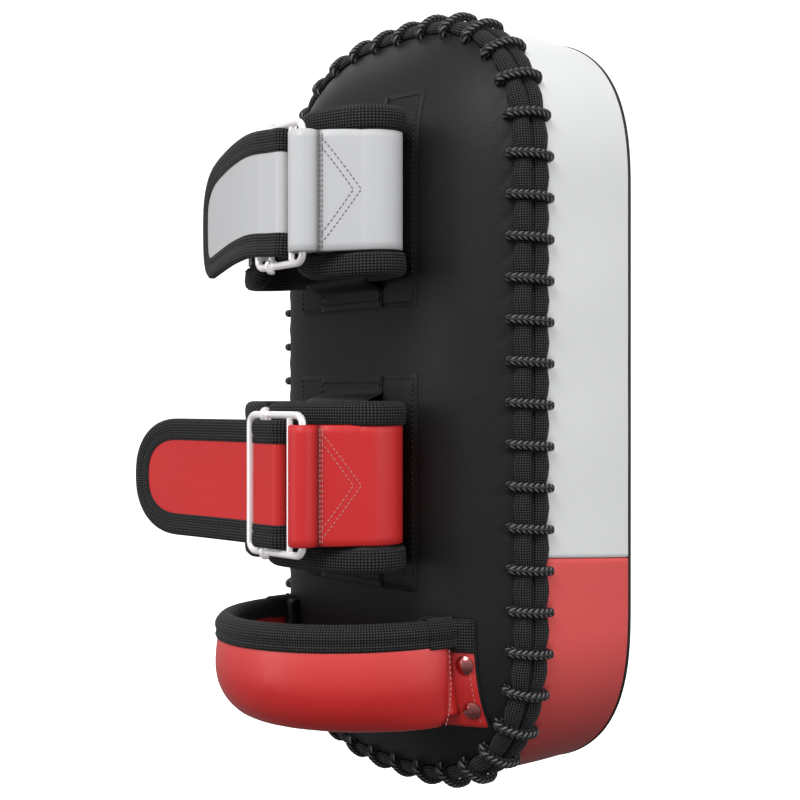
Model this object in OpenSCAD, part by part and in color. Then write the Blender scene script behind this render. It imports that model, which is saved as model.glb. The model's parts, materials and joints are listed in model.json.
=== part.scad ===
// A curved-back striking pad for kick training, worn on the forearm.
// The origin lies on the forearm's axis at mid height, +Z runs up the pad,
// the striking face looks towards -Y and the two arm cuffs stand on the +Y side.

/* [Pad body] */
// Width across the side walls
pad_w = 200; // [190:1:210]
// Height from end to end
pad_h = 390; // [380:1:410]
// Depth of the side wall, from the striking face to the laced seam
side_depth = 68.5; // [60:0.5:76]
// How far the back panel crowns beyond the laced seam
crown = 33; // [28:0.5:36]
// Height of each rounded end
end_h = 92; // [86:1:98]
// Squareness of the rounded ends, where 2 is an ellipse
end_power = 2.77; // [2:0.01:3.2]
// Thickness of the leather panels
skin = 1.6; // [1.2:0.1:2]
// Height above the bottom end at which the side wall changes colour
red_h = 117; // [80:1:140]
// Thickness of the hard foam behind the striking face
front_foam = 20; // [12:1:30]

/* [Laced edge] */
// Width of each binding tape
tape_w = 9.5; // [8.5:0.5:11]
// Thickness of each binding tape
tape_t = 2.2; // [1.5:0.1:2.6]
// Number of lacing loops round the edge
loops = 53; // [50:1:56]
// Diameter of the lacing cord
cord_d = 4.6; // [4:0.1:5]

/* [Cuffs] */
// Distance from the laced seam to the forearm's axis
arm_h = 60; // [59:0.5:62]
// Height of the upper cuff's middle
upper_z = 100; // [96:1:104]
// Height of the middle cuff's middle
middle_z = -41; // [-44:1:-39]
// Height of the upper strap's middle, as the buckle pulls it down a little
upper_strap_z = 97; // [97:0.5:99]
// Height of the middle strap's middle
middle_strap_z = -40; // [-42:0.5:-39]
// Width of a cuff along the forearm
cuff_w = 81; // [76:1:84]
// Half width of a cuff on the side that holds the buckle
near_a = 62.5; // [60.5:0.5:64]
// Half width of a cuff on the tongue's side
far_a = 56.5; // [54:0.5:58]
// Thickness of a cuff's foam
cuff_foam_t = 4.4; // [3.6:0.1:4.6]
// Width of the leather straps
strap_w = 57.5; // [54:0.5:57.5]
// Thickness of the leather straps
strap_t = 2; // [1.6:0.1:2.2]

/* [Buckles and tongues] */
// Length of a buckle from its hinge bar to its far bar
buckle_l = 40.6; // [39:0.2:42]
// Height of a buckle between the middles of its rails
buckle_h = 65.8; // [65.8:0.1:70]
// Diameter of the buckle wire
wire_d = 3.5; // [3:0.1:3.8]
// Angle of the upper buckle
upper_tilt = -2; // [-3:0.5:0]
// Angle of the middle buckle
middle_tilt = 4.7; // [3:0.1:6]
// Width of a tongue over its binding
tongue_w = 61; // [56:1:61]
// Length of the upper tongue
upper_tongue_l = 106; // [90:1:110]
// Length of the middle tongue
middle_tongue_l = 92; // [80:1:100]
// Angle of the upper tongue
upper_tongue_angle = -18; // [-19:0.5:-10]
// Angle of the middle tongue
middle_tongue_angle = 9; // [2:0.5:14]

/* [Guard band] */
// Outer radius of the guard band's arch
guard_r = 75.5; // [74:0.5:77]
// Height of the guard band's rim
guard_top = -105; // [-108:1:-102]
// Height of the guard band's lower edge
guard_bottom = -161; // [-164:1:-158]
// How far the lower edge turns in
guard_turn = 22; // [18:1:24]
// Thickness of the guard band
guard_t = 8; // [7:0.5:10]

/* [Hidden] */

black = [0.06, 0.06, 0.065];
white = [0.9, 0.9, 0.9];
red = [0.78, 0.16, 0.15];
grey = [0.78, 0.78, 0.79];
chrome = [0.86, 0.84, 0.84];
foam = [0.35, 0.36, 0.38];

seam_y = -arm_h;
face_y = seam_y - side_depth;
half_w = pad_w / 2;
end_z = pad_h / 2 - end_h;
quarter_steps = 14;
crown_power = 4;

// Quarter of the pad's outline, grown by off on every side
function outline_quarter(off) = [
    for (i = [0 : quarter_steps])
        let (t = 90 * i / quarter_steps)
        [(half_w + off) * pow(cos(t), 2 / end_power), end_z + (end_h + off) * pow(sin(t), 2 / end_power)]
];

// The pad's whole outline, anticlockwise from the right side
function outline(off) =
    let (q = outline_quarter(off), n = len(q))
    concat(
        q,
        [for (i = [n - 2 : -1 : 0]) [-q[i].x, q[i].y]],
        [for (i = [0 : n - 1]) [-q[i].x, -q[i].y]],
        [for (i = [n - 2 : -1 : 0]) [q[i].x, -q[i].y]]
    );

// Rise of the crowned back above the seam at a distance in from the edge
function rise(inset) = crown * (1 - pow(max(0, (half_w - inset) / half_w), crown_power));

// Height of the back panel at mid width, where z is the height up the pad
function back_y(z) = seam_y + rise(pad_h / 2 - abs(z));

module slab(y0, y1, off) {
    translate([0, y1, 0]) rotate([90, 0, 0]) linear_extrude(y1 - y0) polygon(outline(off));
}

// The crowned back as a solid, grown by off
module crowned(off) {
    insets = [0, 2.5, 6, 11, 18, 27, 38, 52, 70];
    leaf = 0.02;
    hull() {
        for (inset = insets)
            slab(seam_y + off + rise(inset), seam_y + off + rise(inset) + leaf, off - inset);
    }
}

// ---- Pad body ----

module striking_foam() {
    color(foam) slab(face_y + skin, face_y + skin + front_foam, -skin);
}

module core_foam() {
    color(foam) slab(face_y + skin + front_foam, seam_y - skin, -skin);
}

module back_foam() {
    color(foam) crowned(-skin);
}

module striking_panel() {
    color(black) slab(face_y, face_y + skin, 0);
}

piping_d = 3;
module edge_piping() {
    color(black) difference() {
        slab(face_y + skin, face_y + skin + piping_d, piping_d / 2);
        slab(face_y, face_y + 3 * piping_d, 0);
    }
}

module side_wall(z0, z1) {
    intersection() {
        difference() {
            slab(face_y + skin, seam_y, 0);
            slab(face_y, seam_y + 1, -skin);
        }
        translate([-pad_w, face_y - 1, z0]) cube([2 * pad_w, side_depth + 2, z1 - z0]);
    }
}

red_z = red_h - pad_h / 2;
module side_wall_white() {
    color(white) side_wall(red_z, pad_h);
}

module side_wall_red() {
    color(red) side_wall(-pad_h, red_z);
}

module back_panel() {
    color(black) difference() {
        crowned(0);
        crowned(-skin);
    }
}

tape_inset = 5.5;
module back_edge_tape() {
    color(black) difference() {
        crowned(tape_t);
        crowned(0);
        slab(seam_y - 1, seam_y + 2 * crown, -tape_inset);
        slab(seam_y - 1, seam_y + 0.2, 2 * tape_t);
    }
}

module side_edge_tape() {
    color(black) difference() {
        slab(seam_y - tape_w, seam_y, tape_t);
        slab(seam_y - tape_w - 1, seam_y + 1, 0);
    }
}

// ---- Lacing: one cord whipped round the edge ----

rings_per_loop = 8;
cord_sides = 6;
hole_inset = 6.5;
hole_rise = 9;
hole_drop = 9;
loop_out = 8.6;
loop_in = 3;

edge = outline(0);
edge_n = len(edge);
edge_steps = [for (i = [0 : edge_n - 1]) norm(edge[(i + 1) % edge_n] - edge[i])];
function running(v, i, total) = i == len(v) ? [total] : concat([total], running(v, i + 1, total + v[i]));
edge_marks = running(edge_steps, 0, 0);
edge_length = edge_marks[edge_n];

// Index of the outline's side that holds a distance along it
function side_at(s) = max([for (i = [0 : edge_n - 1]) edge_marks[i] <= s ? i : 0]);
function edge_dir(i) = (edge[(i + 1) % edge_n] - edge[i % edge_n]) / max(edge_steps[i % edge_n], 0.001);

// Middle of the laced edge at ring k, and the cord's place on its loop
function cord_point(k) =
    let (
        turn = (k % rings_per_loop) / rings_per_loop,
        loop = floor(k / rings_per_loop),
        advance = turn < 0.5 ? 0.15 * turn : 0.075 + (turn - 0.5) * 1.85,
        s = (loop + advance) / loops * edge_length,
        i = side_at(s),
        d = edge_dir(i),
        p = edge[i] + d * (s - edge_marks[i]),
        n = [d.y, -d.x],
        along = norm([hole_inset, hole_rise + hole_drop]) / 2,
        back = [hole_inset, hole_rise + hole_drop] / (2 * along),
        out = [-back.y, back.x],
        bulge = turn < 0.5 ? loop_out : loop_in,
        a = 360 * turn,
        inset = hole_inset / 2 + along * cos(a) * back.x + bulge * sin(a) * out.x,
        y = (hole_rise - hole_drop) / 2 + along * cos(a) * back.y + bulge * sin(a) * out.y
    )
    [p.x - n.x * inset, seam_y + y, p.y - n.y * inset, d.x, d.y];

module lacing_cord() {
    count = loops * rings_per_loop;
    route = [for (k = [0 : count - 1]) cord_point(k)];
    spots = [for (r = route) [r[0], r[1], r[2]]];
    verts = [
        for (k = [0 : count - 1])
            let (
                ahead = spots[(k + 1) % count],
                behind = spots[(k + count - 1) % count],
                t = (ahead - behind) / norm(ahead - behind),
                rim = [route[k][3], 0, route[k][4]],
                side = cross(t, rim),
                u = side / norm(side),
                v = cross(t, u)
            )
            for (j = [0 : cord_sides - 1])
                let (a = 360 * j / cord_sides)
                spots[k] + cord_d / 2 * (cos(a) * u + sin(a) * v)
    ];
    total = len(verts);
    faces = [
        for (k = [0 : count - 1], j = [0 : cord_sides - 1])
            let (
                a = k * cord_sides + j,
                b = k * cord_sides + (j + 1) % cord_sides,
                c = (a + cord_sides) % total,
                d = (b + cord_sides) % total
            )
            each [[a, c, b], [b, c, d]]
    ];
    color(black) polyhedron(verts, faces);
}

// ---- Cuffs ----

patch_w = 101;
patch_h = 108;
patch_t = 1.2;
module patch(z) {
    color(black) intersection() {
        difference() {
            crowned(patch_t);
            crowned(0);
        }
        translate([-patch_w / 2, seam_y + crown / 4, z - patch_h / 2]) cube([patch_w, crown, patch_h]);
    }
}

shell_t = 1.3;
binding_t = 1.2;
binding_w = 8.6;
cuff_top = 24.6;
cuff_far_top = 16.5;
cuff_base = 20.8;
shoulder_power = 2.4;
near_base_power = 2.4;
far_base_power = 4;
flap_angle = 96;
far_angle = 430;

// A point of the cuff's loop at an angle round the forearm, where off grows the loop
function loop_point(a, off) =
    let (
        near = a > 80 && a < 270,
        below = sin(a) < 0,
        rx = (near ? near_a : far_a) + off,
        ry = (below ? cuff_base : near ? cuff_top : cuff_far_top) + off,
        power = below ? (near ? near_base_power : far_base_power) : (near ? shoulder_power : 2)
    )
    [sign(cos(a)) * rx * pow(abs(cos(a)), 2 / power), sign(sin(a)) * ry * pow(abs(sin(a)), 2 / power)];

loop_step = 6;
// Points along the loop, with one more point at each end when over is more than 0
function loop_side(a0, a1, off, over = 0) =
    let (n = ceil((a1 - a0) / loop_step))
    concat(
        over > 0 ? [loop_point(a0 - over, off)] : [],
        [for (i = [0 : n]) loop_point(a0 + (a1 - a0) * i / n, off)],
        over > 0 ? [loop_point(a1 + over, off)] : []
    );
function reversed(v) = [for (i = [len(v) - 1 : -1 : 0]) v[i]];

// A band that follows the cuff's loop between two offsets
module loop_band(a0, a1, off_in, off_out, w, over = 0) {
    linear_extrude(w, center = true)
        polygon(concat(loop_side(a0, a1, off_out, over), reversed(loop_side(a0, a1, off_in, over))));
}

cuff_half = cuff_foam_t / 2;
cuff_out = cuff_half + shell_t;
module cuff_foam(z) {
    color(foam) translate([0, 0, z])
        loop_band(flap_angle, far_angle, -cuff_half, cuff_half, cuff_w - 2 * binding_t);
}

module cuff_cover(z) {
    color(black) translate([0, 0, z])
        loop_band(flap_angle, far_angle, cuff_half, cuff_out, cuff_w - 2 * binding_t);
}

module cuff_lining(z) {
    color(black) translate([0, 0, z])
        loop_band(flap_angle, far_angle, -cuff_out, -cuff_half, cuff_w - 2 * binding_t);
}

past_end = 9;
module cuff_binding(z) {
    face = cuff_out + binding_t;
    color(black) translate([0, 0, z]) difference() {
        loop_band(flap_angle, far_angle, -face, face, cuff_w);
        loop_band(flap_angle, far_angle, -cuff_out, cuff_out, cuff_w - 2 * binding_t, past_end);
        loop_band(flap_angle, far_angle, -2 * face, 2 * face, cuff_w - 2 * binding_w, past_end);
    }
}

keeper_w = 53;
keeper_t = 1.7;
keeper_gap = 0.2;
bridge_gap = 1.3;
// A bridge over the cuff's base with a sewn foot above and below it
module keeper(z) {
    lift = -(cuff_base - cuff_out - binding_t) + bridge_gap;
    foot = patch_t + keeper_gap;
    flat = cuff_w / 2 + 5;
    tip = patch_h / 2 - 1;
    low = [[-tip, back_y(z - tip) + foot], [-flat, back_y(z - flat) + foot]];
    high = [[flat, back_y(z + flat) + foot], [tip, back_y(z + tip) + foot]];
    rise_at = cuff_w / 2 + 1;
    under = concat(low, [[-rise_at, lift], [rise_at, lift]], high);
    over = [for (p = under) [p.x, p.y + keeper_t]];
    color(black) translate([-keeper_w / 2, 0, z]) rotate([90, 0, 90])
        linear_extrude(keeper_w) polygon([for (p = concat(under, reversed(over))) [p.y, p.x]]);
}

// ---- Straps ----

// A flat ribbon of thickness t along a path
function unit(v) = v / max(norm(v), 0.001);
function path_normal(p, i) =
    let (d = unit(p[min(i + 1, len(p) - 1)] - p[max(i - 1, 0)]))
    [-d.y, d.x];
function ribbon(p, t) = concat(
    [for (i = [0 : len(p) - 1]) p[i] + path_normal(p, i) * t / 2],
    [for (i = [len(p) - 1 : -1 : 0]) p[i] - path_normal(p, i) * t / 2]
);

hinge_x = -45.5;
hinge_y = 35.4;
roll_r = 6.8;
wire_r = wire_d / 2;
bore_gap = 0.1;
strap_base = 250;
strap_leaves = 148;
roll_join = 20;
strap_gap = 0.5;
lie = cuff_out + strap_t / 2 + strap_gap;

// The leather strap on the buckle's side, folded round the hinge bar
module outer_strap(z) {
    wrap = loop_side(strap_leaves, strap_base, lie);
    meet = [hinge_x, hinge_y] + (roll_r - strap_t) * [-cos(roll_join), sin(roll_join)];
    path = concat([meet], wrap);
    color(z > 0 ? grey : red) translate([0, 0, z - strap_w / 2]) difference() {
        union() {
            linear_extrude(strap_w) polygon(ribbon(path, strap_t));
            translate([hinge_x, hinge_y, 0]) cylinder(h = strap_w, r = roll_r, $fn = 48);
        }
        translate([hinge_x, hinge_y, -1]) cylinder(h = strap_w + 2, r = wire_r + bore_gap, $fn = 48);
    }
}

run_end_x = -12;
run_end_y = 30.4;
run_leaves = 415;
far_base = 292;
// The leather strap on the tongue's side, up to where it threads the buckle
module threading_strap(z) {
    path = concat([[run_end_x, run_end_y]], reversed(loop_side(far_base, run_leaves, lie)));
    color(z > 0 ? grey : red) translate([0, 0, z - strap_w / 2])
        linear_extrude(strap_w) polygon(ribbon(path, strap_t));
}

hook_w = 38;
hook_l = 50;
hook_t = 1.2;
module loop_patch(z) {
    under = lie + strap_t / 2 + strap_gap;
    color(black) translate([0, 0, z]) loop_band(345, 405, under, under + hook_t, hook_w);
}

// ---- Buckles, placed with the hinge bar on the local Z axis ----

module at_buckle(z, tilt) {
    translate([hinge_x, hinge_y, z]) rotate([0, 0, tilt]) children();
}

corner_r = 4.5;
module wire(from_z, to_z, x) {
    translate([x, 0, from_z]) cylinder(h = to_z - from_z, r = wire_r, $fn = 32);
}

module rail(z) {
    translate([corner_r, 0, z]) rotate([0, 90, 0])
        cylinder(h = buckle_l - 2 * corner_r, r = wire_r, $fn = 32);
}

module corner(x, z, turn) {
    translate([x, 0, z]) rotate([90, turn, 0])
        rotate_extrude(angle = 90, $fn = 48) translate([corner_r, 0]) circle(r = wire_r, $fn = 32);
}

module buckle_frame(z, tilt) {
    top = buckle_h / 2;
    color(chrome) at_buckle(z, tilt) {
        wire(-top + corner_r, top - corner_r, 0);
        wire(-top + corner_r, top - corner_r, buckle_l);
        rail(top);
        rail(-top);
        corner(buckle_l - corner_r, top - corner_r, 0);
        corner(corner_r, top - corner_r, -90);
        corner(corner_r, corner_r - top, 180);
        corner(buckle_l - corner_r, corner_r - top, 90);
    }
}

inner_bar_x = 9.6;
middle_bar_x = 28.1;
bar_r = 1.5;
// The two bars between the rails: one beside the hinge bar, one that holds the strap
module buckle_bars(z, tilt) {
    reach = buckle_h / 2 - wire_r;
    color(chrome) at_buckle(z, tilt) {
        for (x = [inner_bar_x, middle_bar_x])
            translate([x, 0, -reach]) cylinder(h = 2 * reach, r = bar_r, $fn = 32);
    }
}

// ---- The strap's fold round the middle bar, and the tongue ----

fold_x = 17.6;
fold_r = 3.4;
fold_t = 2.6;
joint_x = 45;
ease_steps = 6;
leather_w = 42;
fold_tail_x = 25;
ease_x = 31;
ease_run = 7.6;

// Height at which the strap passes the far bar.
// pass is 1 where the strap crosses over the far bar and -1 where it goes under it.
function pass_y(pass) = pass > 0 ? fold_r + 0.1 : -(fold_r + 0.5);

// Path of the fold: from under the bar, round, over it and past the far bar
function fold_path(pass) = concat(
    [[fold_tail_x, -fold_r]],
    [for (i = [0 : ease_steps])
        let (a = -90 - 180 * i / ease_steps)
        [fold_x + fold_r * cos(a), fold_r * sin(a)]],
    [for (i = [0 : ease_steps])
        let (f = i / ease_steps)
        [ease_x + ease_run * f, fold_r + (pass_y(pass) - fold_r) * (1 - cos(180 * f)) / 2]],
    [[joint_x, pass_y(pass)]]
);

module strap_fold(z, tilt, pass) {
    color(z > 0 ? grey : red) at_buckle(z, tilt) translate([0, 0, -leather_w / 2])
        linear_extrude(leather_w) polygon(ribbon(fold_path(pass), fold_t));
}

module fold_binding(z, tilt, pass) {
    edge_w = (tongue_w - leather_w) / 2;
    color(black) at_buckle(z, tilt) for (side = [-1, 1])
        translate([0, 0, side * (leather_w + edge_w) / 2])
            linear_extrude(edge_w, center = true) polygon(ribbon(fold_path(pass), fold_t + 0.6));
}

tip_l = 30;
tip_power = 2.3;
tip_steps = 10;
// Outline of a tongue that starts square and ends round
function tongue_outline(l, w) = concat(
    [[0, -w / 2]],
    [for (i = [-tip_steps : tip_steps])
        let (a = 90 * i / tip_steps)
        [l - tip_l + tip_l * pow(cos(a), 2 / tip_power), sign(a) * w / 2 * pow(abs(sin(a)), 2 / tip_power)]],
    [[0, w / 2]]
);

joint_gap = 1.2;
// Places a tongue with its hinge line at the end of the fold
module at_tongue(z, tilt, pass, angle) {
    at_buckle(z, tilt) translate([joint_x + joint_gap, pass_y(pass), 0]) rotate([0, 0, angle - tilt]) children();
}

module upright(t) {
    translate([0, t / 2, 0]) rotate([90, 0, 0]) linear_extrude(t) children();
}

binding_over = 1.6;
core_t = 2.2;
module tongue_strap(z, tilt, pass, angle, l) {
    color(z > 0 ? grey : red) at_tongue(z, tilt, pass, angle)
        upright(core_t) polygon(tongue_outline(l - binding_over, tongue_w - 2 * binding_over));
}

module tongue_binding(z, tilt, pass, angle, l) {
    edge_w = (tongue_w - leather_w) / 2;
    color(black) at_tongue(z, tilt, pass, angle) difference() {
        upright(core_t + 2 * binding_t) polygon(tongue_outline(l, tongue_w));
        upright(core_t) polygon(tongue_outline(l - binding_over, tongue_w - 2 * binding_over));
        translate([-1, 0, 0]) upright(4 * core_t) polygon(tongue_outline(l - edge_w + 1, leather_w));
    }
}

module tongue_hook_patch(z, tilt, pass, angle, l) {
    start = 12;
    color(black) at_tongue(z, tilt, pass, angle)
        translate([start, -core_t / 2 - hook_t, -hook_w / 2]) cube([hook_l, hook_t, hook_w]);
}

// ---- Guard band: a padded arch that turns in at its lower edge ----

guard_y = -31.5;
turn_z = -135;
turn_steps = 9;
guard_lean = 2;
// One face of the band in section, depth inside its outer face
function guard_face(depth) =
    let (
        inner = guard_r - guard_turn,
        drop = turn_z - guard_bottom
    )
    concat(
        [[guard_r - guard_lean - depth, guard_top]],
        [for (i = [0 : turn_steps])
            let (a = 90 * i / turn_steps)
            [inner + (guard_turn - depth) * cos(a), turn_z - (drop - depth) * sin(a)]]
    );

module guard_layer(outer, inner) {
    translate([0, guard_y, 0]) rotate_extrude(angle = 180, $fn = 96)
        polygon(concat(guard_face(outer), reversed(guard_face(inner))));
}

module guard_foam() {
    color(foam) guard_layer(skin, guard_t - skin);
}

module guard_shell() {
    color(red) guard_layer(0, skin);
}

module guard_lining() {
    color(red) guard_layer(guard_t - skin, guard_t);
}

rim_h = 7.5;
rim_in_h = 5;
rim_over = 1.4;
rim_crest = 5;
rim_edge = 2;
module rim_section() {
    outer = guard_r - guard_lean + rim_over;
    inner = guard_r - guard_lean - guard_t - rim_over;
    polygon([
        [outer, guard_top - rim_h],
        [outer, guard_top + rim_edge],
        [(outer + inner) / 2, guard_top + rim_crest],
        [inner, guard_top + rim_edge],
        [inner, guard_top - rim_in_h]
    ]);
}

module rim(start, sweep) {
    translate([0, guard_y, 0]) rotate([0, 0, start]) rotate_extrude(angle = sweep, $fn = 96) difference() {
        rim_section();
        polygon(concat(guard_face(-0.05), reversed(guard_face(guard_t + 0.05))));
    }
}

wrap_sweep = 9;
module guard_rim_binding() {
    color(black) rim(wrap_sweep, 180 - 2 * wrap_sweep);
}

module guard_end_wraps() {
    color(black) {
        rim(0, wrap_sweep);
        rim(180 - wrap_sweep, wrap_sweep);
    }
}

tab_in = 64;
tab_out = 82;
tab_t = 2.2;
tab_inset = 10.5;
module guard_tabs() {
    color(red) intersection() {
        difference() {
            crowned(tab_t);
            crowned(0.1);
            translate([-guard_r, guard_y, guard_bottom]) cube([2 * guard_r, crown, -guard_bottom]);
        }
        slab(seam_y, seam_y + 2 * crown, -tab_inset);
        union() {
            for (side = [-1, 1])
                translate([side < 0 ? -tab_out : tab_in, seam_y, guard_bottom + 2])
                    cube([tab_out - tab_in, crown, guard_top - guard_bottom - 5]);
        }
    }
}

rivet_x = 75.8;
rivet_z = [-127, -149];
rivet_rise = [21.2, 16.4];
rivet_lean = [30, 33];
rivet_tip = [6, 19];
rivet_r = 4.5;
shank_r = 1.6;
module at_rivets() {
    for (side = [-1, 1], k = [0, 1])
        translate([side * rivet_x, seam_y + rivet_rise[k], rivet_z[k]])
            rotate([-90 - rivet_tip[k], 0, -side * rivet_lean[k]]) children();
}

rivet_grip = 5.2;
module guard_rivets() {
    color(chrome) at_rivets() {
        translate([0, 0, tab_t]) intersection() {
            translate([0, 0, -rivet_r]) sphere(r = 1.5 * rivet_r, $fn = 48);
            cylinder(h = rivet_r, r = rivet_r, $fn = 48);
        }
        translate([0, 0, -rivet_grip]) cylinder(h = rivet_grip + tab_t, r = shank_r, $fn = 32);
    }
}

washer_t = 0.8;
module guard_rivet_washers() {
    color(chrome) at_rivets() translate([0, 0, -rivet_grip]) difference() {
        cylinder(h = washer_t, r = rivet_r, $fn = 48);
        translate([0, 0, -1]) cylinder(h = 3, r = shank_r + 0.05, $fn = 32);
    }
}

striking_foam();
core_foam();
back_foam();
striking_panel();
edge_piping();
side_wall_white();
side_wall_red();
back_panel();
back_edge_tape();
side_edge_tape();
lacing_cord();
patch(upper_z);  // upper_patch
keeper(upper_z);  // upper_keeper
cuff_foam(upper_z);  // upper_cuff_foam
cuff_cover(upper_z);  // upper_cuff_cover
cuff_lining(upper_z);  // upper_cuff_lining
cuff_binding(upper_z);  // upper_cuff_binding
outer_strap(upper_strap_z);  // upper_outer_strap
threading_strap(upper_strap_z);  // upper_threading_strap
loop_patch(upper_strap_z);  // upper_loop_patch
buckle_frame(upper_strap_z, upper_tilt);  // upper_buckle_frame
buckle_bars(upper_strap_z, upper_tilt);  // upper_buckle_bars
strap_fold(upper_strap_z, upper_tilt, 1);  // upper_strap_fold
fold_binding(upper_strap_z, upper_tilt, 1);  // upper_fold_binding
tongue_strap(upper_strap_z, upper_tilt, 1, upper_tongue_angle, upper_tongue_l);  // upper_tongue_strap
tongue_binding(upper_strap_z, upper_tilt, 1, upper_tongue_angle, upper_tongue_l);  // upper_tongue_binding
tongue_hook_patch(upper_strap_z, upper_tilt, 1, upper_tongue_angle, upper_tongue_l);  // upper_tongue_hook_patch
patch(middle_z);  // middle_patch
keeper(middle_z);  // middle_keeper
cuff_foam(middle_z);  // middle_cuff_foam
cuff_cover(middle_z);  // middle_cuff_cover
cuff_lining(middle_z);  // middle_cuff_lining
cuff_binding(middle_z);  // middle_cuff_binding
outer_strap(middle_strap_z);  // middle_outer_strap
threading_strap(middle_strap_z);  // middle_threading_strap
loop_patch(middle_strap_z);  // middle_loop_patch
buckle_frame(middle_strap_z, middle_tilt);  // middle_buckle_frame
buckle_bars(middle_strap_z, middle_tilt);  // middle_buckle_bars
strap_fold(middle_strap_z, middle_tilt, -1);  // middle_strap_fold
fold_binding(middle_strap_z, middle_tilt, -1);  // middle_fold_binding
tongue_strap(middle_strap_z, middle_tilt, -1, middle_tongue_angle, middle_tongue_l);  // middle_tongue_strap
tongue_binding(middle_strap_z, middle_tilt, -1, middle_tongue_angle, middle_tongue_l);  // middle_tongue_binding
tongue_hook_patch(middle_strap_z, middle_tilt, -1, middle_tongue_angle, middle_tongue_l);  // middle_tongue_hook_patch
guard_foam();
guard_shell();
guard_lining();
guard_rim_binding();
guard_end_wraps();
guard_tabs();
guard_rivets();
guard_rivet_washers();
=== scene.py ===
"""Curved thai pad: a laced, padded body with two buckled forearm cuffs and a riveted guard band."""
import math
import bmesh
import bpy
import numpy as np
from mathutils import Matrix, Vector
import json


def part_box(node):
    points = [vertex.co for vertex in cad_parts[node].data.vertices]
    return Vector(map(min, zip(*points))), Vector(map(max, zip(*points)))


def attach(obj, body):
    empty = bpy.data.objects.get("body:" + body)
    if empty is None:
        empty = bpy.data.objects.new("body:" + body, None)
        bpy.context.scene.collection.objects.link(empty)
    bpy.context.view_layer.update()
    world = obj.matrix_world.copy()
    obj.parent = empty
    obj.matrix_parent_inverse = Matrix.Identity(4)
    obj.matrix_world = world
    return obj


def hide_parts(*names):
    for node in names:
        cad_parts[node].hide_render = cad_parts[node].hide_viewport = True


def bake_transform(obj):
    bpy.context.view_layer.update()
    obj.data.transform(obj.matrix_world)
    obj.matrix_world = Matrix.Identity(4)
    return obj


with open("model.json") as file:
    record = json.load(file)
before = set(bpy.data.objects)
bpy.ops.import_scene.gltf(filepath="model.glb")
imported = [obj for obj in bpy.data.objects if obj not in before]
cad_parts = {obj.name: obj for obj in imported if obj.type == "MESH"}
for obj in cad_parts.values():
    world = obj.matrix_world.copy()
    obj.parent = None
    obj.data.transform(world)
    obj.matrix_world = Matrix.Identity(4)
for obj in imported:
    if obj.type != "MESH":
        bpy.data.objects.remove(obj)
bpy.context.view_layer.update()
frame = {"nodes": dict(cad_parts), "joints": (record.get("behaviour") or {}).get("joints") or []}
MM = 0.001

# ---------------------------------------------------------------- places taken from the frame

panel_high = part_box("back_panel")[1]
HALF_W = panel_high.x
HALF_H = panel_high.z
SEAM_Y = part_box("side_wall_white")[1].y
FACE_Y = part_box("striking_panel")[0].y
CROWN = panel_high.y - SEAM_Y
RED_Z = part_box("side_wall_red")[1].z
END_H = 92 * MM
END_POWER = 2.77
END_Z = HALF_H - END_H
CROWN_POWER = 4
LOOPS = 53
LOOP_SHIFT = 0.4
JOINTS = {j["name"]: j for j in frame["joints"]}

# ---------------------------------------------------------------- camera and light

BODY_CENTRE = Vector((0, (SEAM_Y + FACE_Y) / 2, 0))
CAMERA_AZIMUTH = math.radians(231.95)
CAMERA_DISTANCE = 0.7398
CAMERA_ASIDE = 0.0287
CAMERA_LENS = 60.4
SENSOR = 36


def make_camera():
    forward = Vector((-math.sin(CAMERA_AZIMUTH), math.cos(CAMERA_AZIMUTH), 0))
    right = forward.cross(Vector((0, 0, 1)))
    camera = bpy.data.objects.new("camera", bpy.data.cameras.new("camera"))
    camera.location = BODY_CENTRE - forward * CAMERA_DISTANCE - right * CAMERA_ASIDE
    camera.rotation_euler = forward.to_track_quat("-Z", "Y").to_euler()
    camera.data.lens = CAMERA_LENS
    camera.data.sensor_width = SENSOR
    camera.data.clip_end = 30
    bpy.context.collection.objects.link(camera)
    bpy.context.scene.camera = camera
    return forward, right


FORWARD, RIGHT = make_camera()


def area_light(name, place, size, power, target=(0, 0, 0)):
    light = bpy.data.objects.new(name, bpy.data.lights.new(name, "AREA"))
    light.data.shape = "RECTANGLE"
    light.data.size, light.data.size_y = size
    light.data.energy = power
    light.location = place
    light.rotation_euler = (Vector(target) - Vector(place)).to_track_quat("-Z", "Y").to_euler()
    bpy.context.collection.objects.link(light)
    return light


def towards(back, aside, up):
    """A place seen from the pad: back towards the camera, aside to the picture's right, and up."""
    return BODY_CENTRE - FORWARD * back + RIGHT * aside + Vector((0, 0, up))


area_light("key", towards(1.4, -0.6, 1.3), (0.9, 0.9), 21)
area_light("right_fill", towards(1.2, 1.5, 0.6), (0.9, 1.6), 12)
area_light("left_fill", towards(0.7, -1.7, 0.3), (0.8, 1.6), 9)
area_light("back_light", towards(-1.5, -0.2, 1.2), (1.6, 1.2), 6)


WORLD_BELOW, WORLD_ABOVE = 0.12, 0.55
FLOOR_DROP = 75 * MM
FLOOR_R = 5.0
COVE_R = 1.5
WALL_H = 6.0


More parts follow.
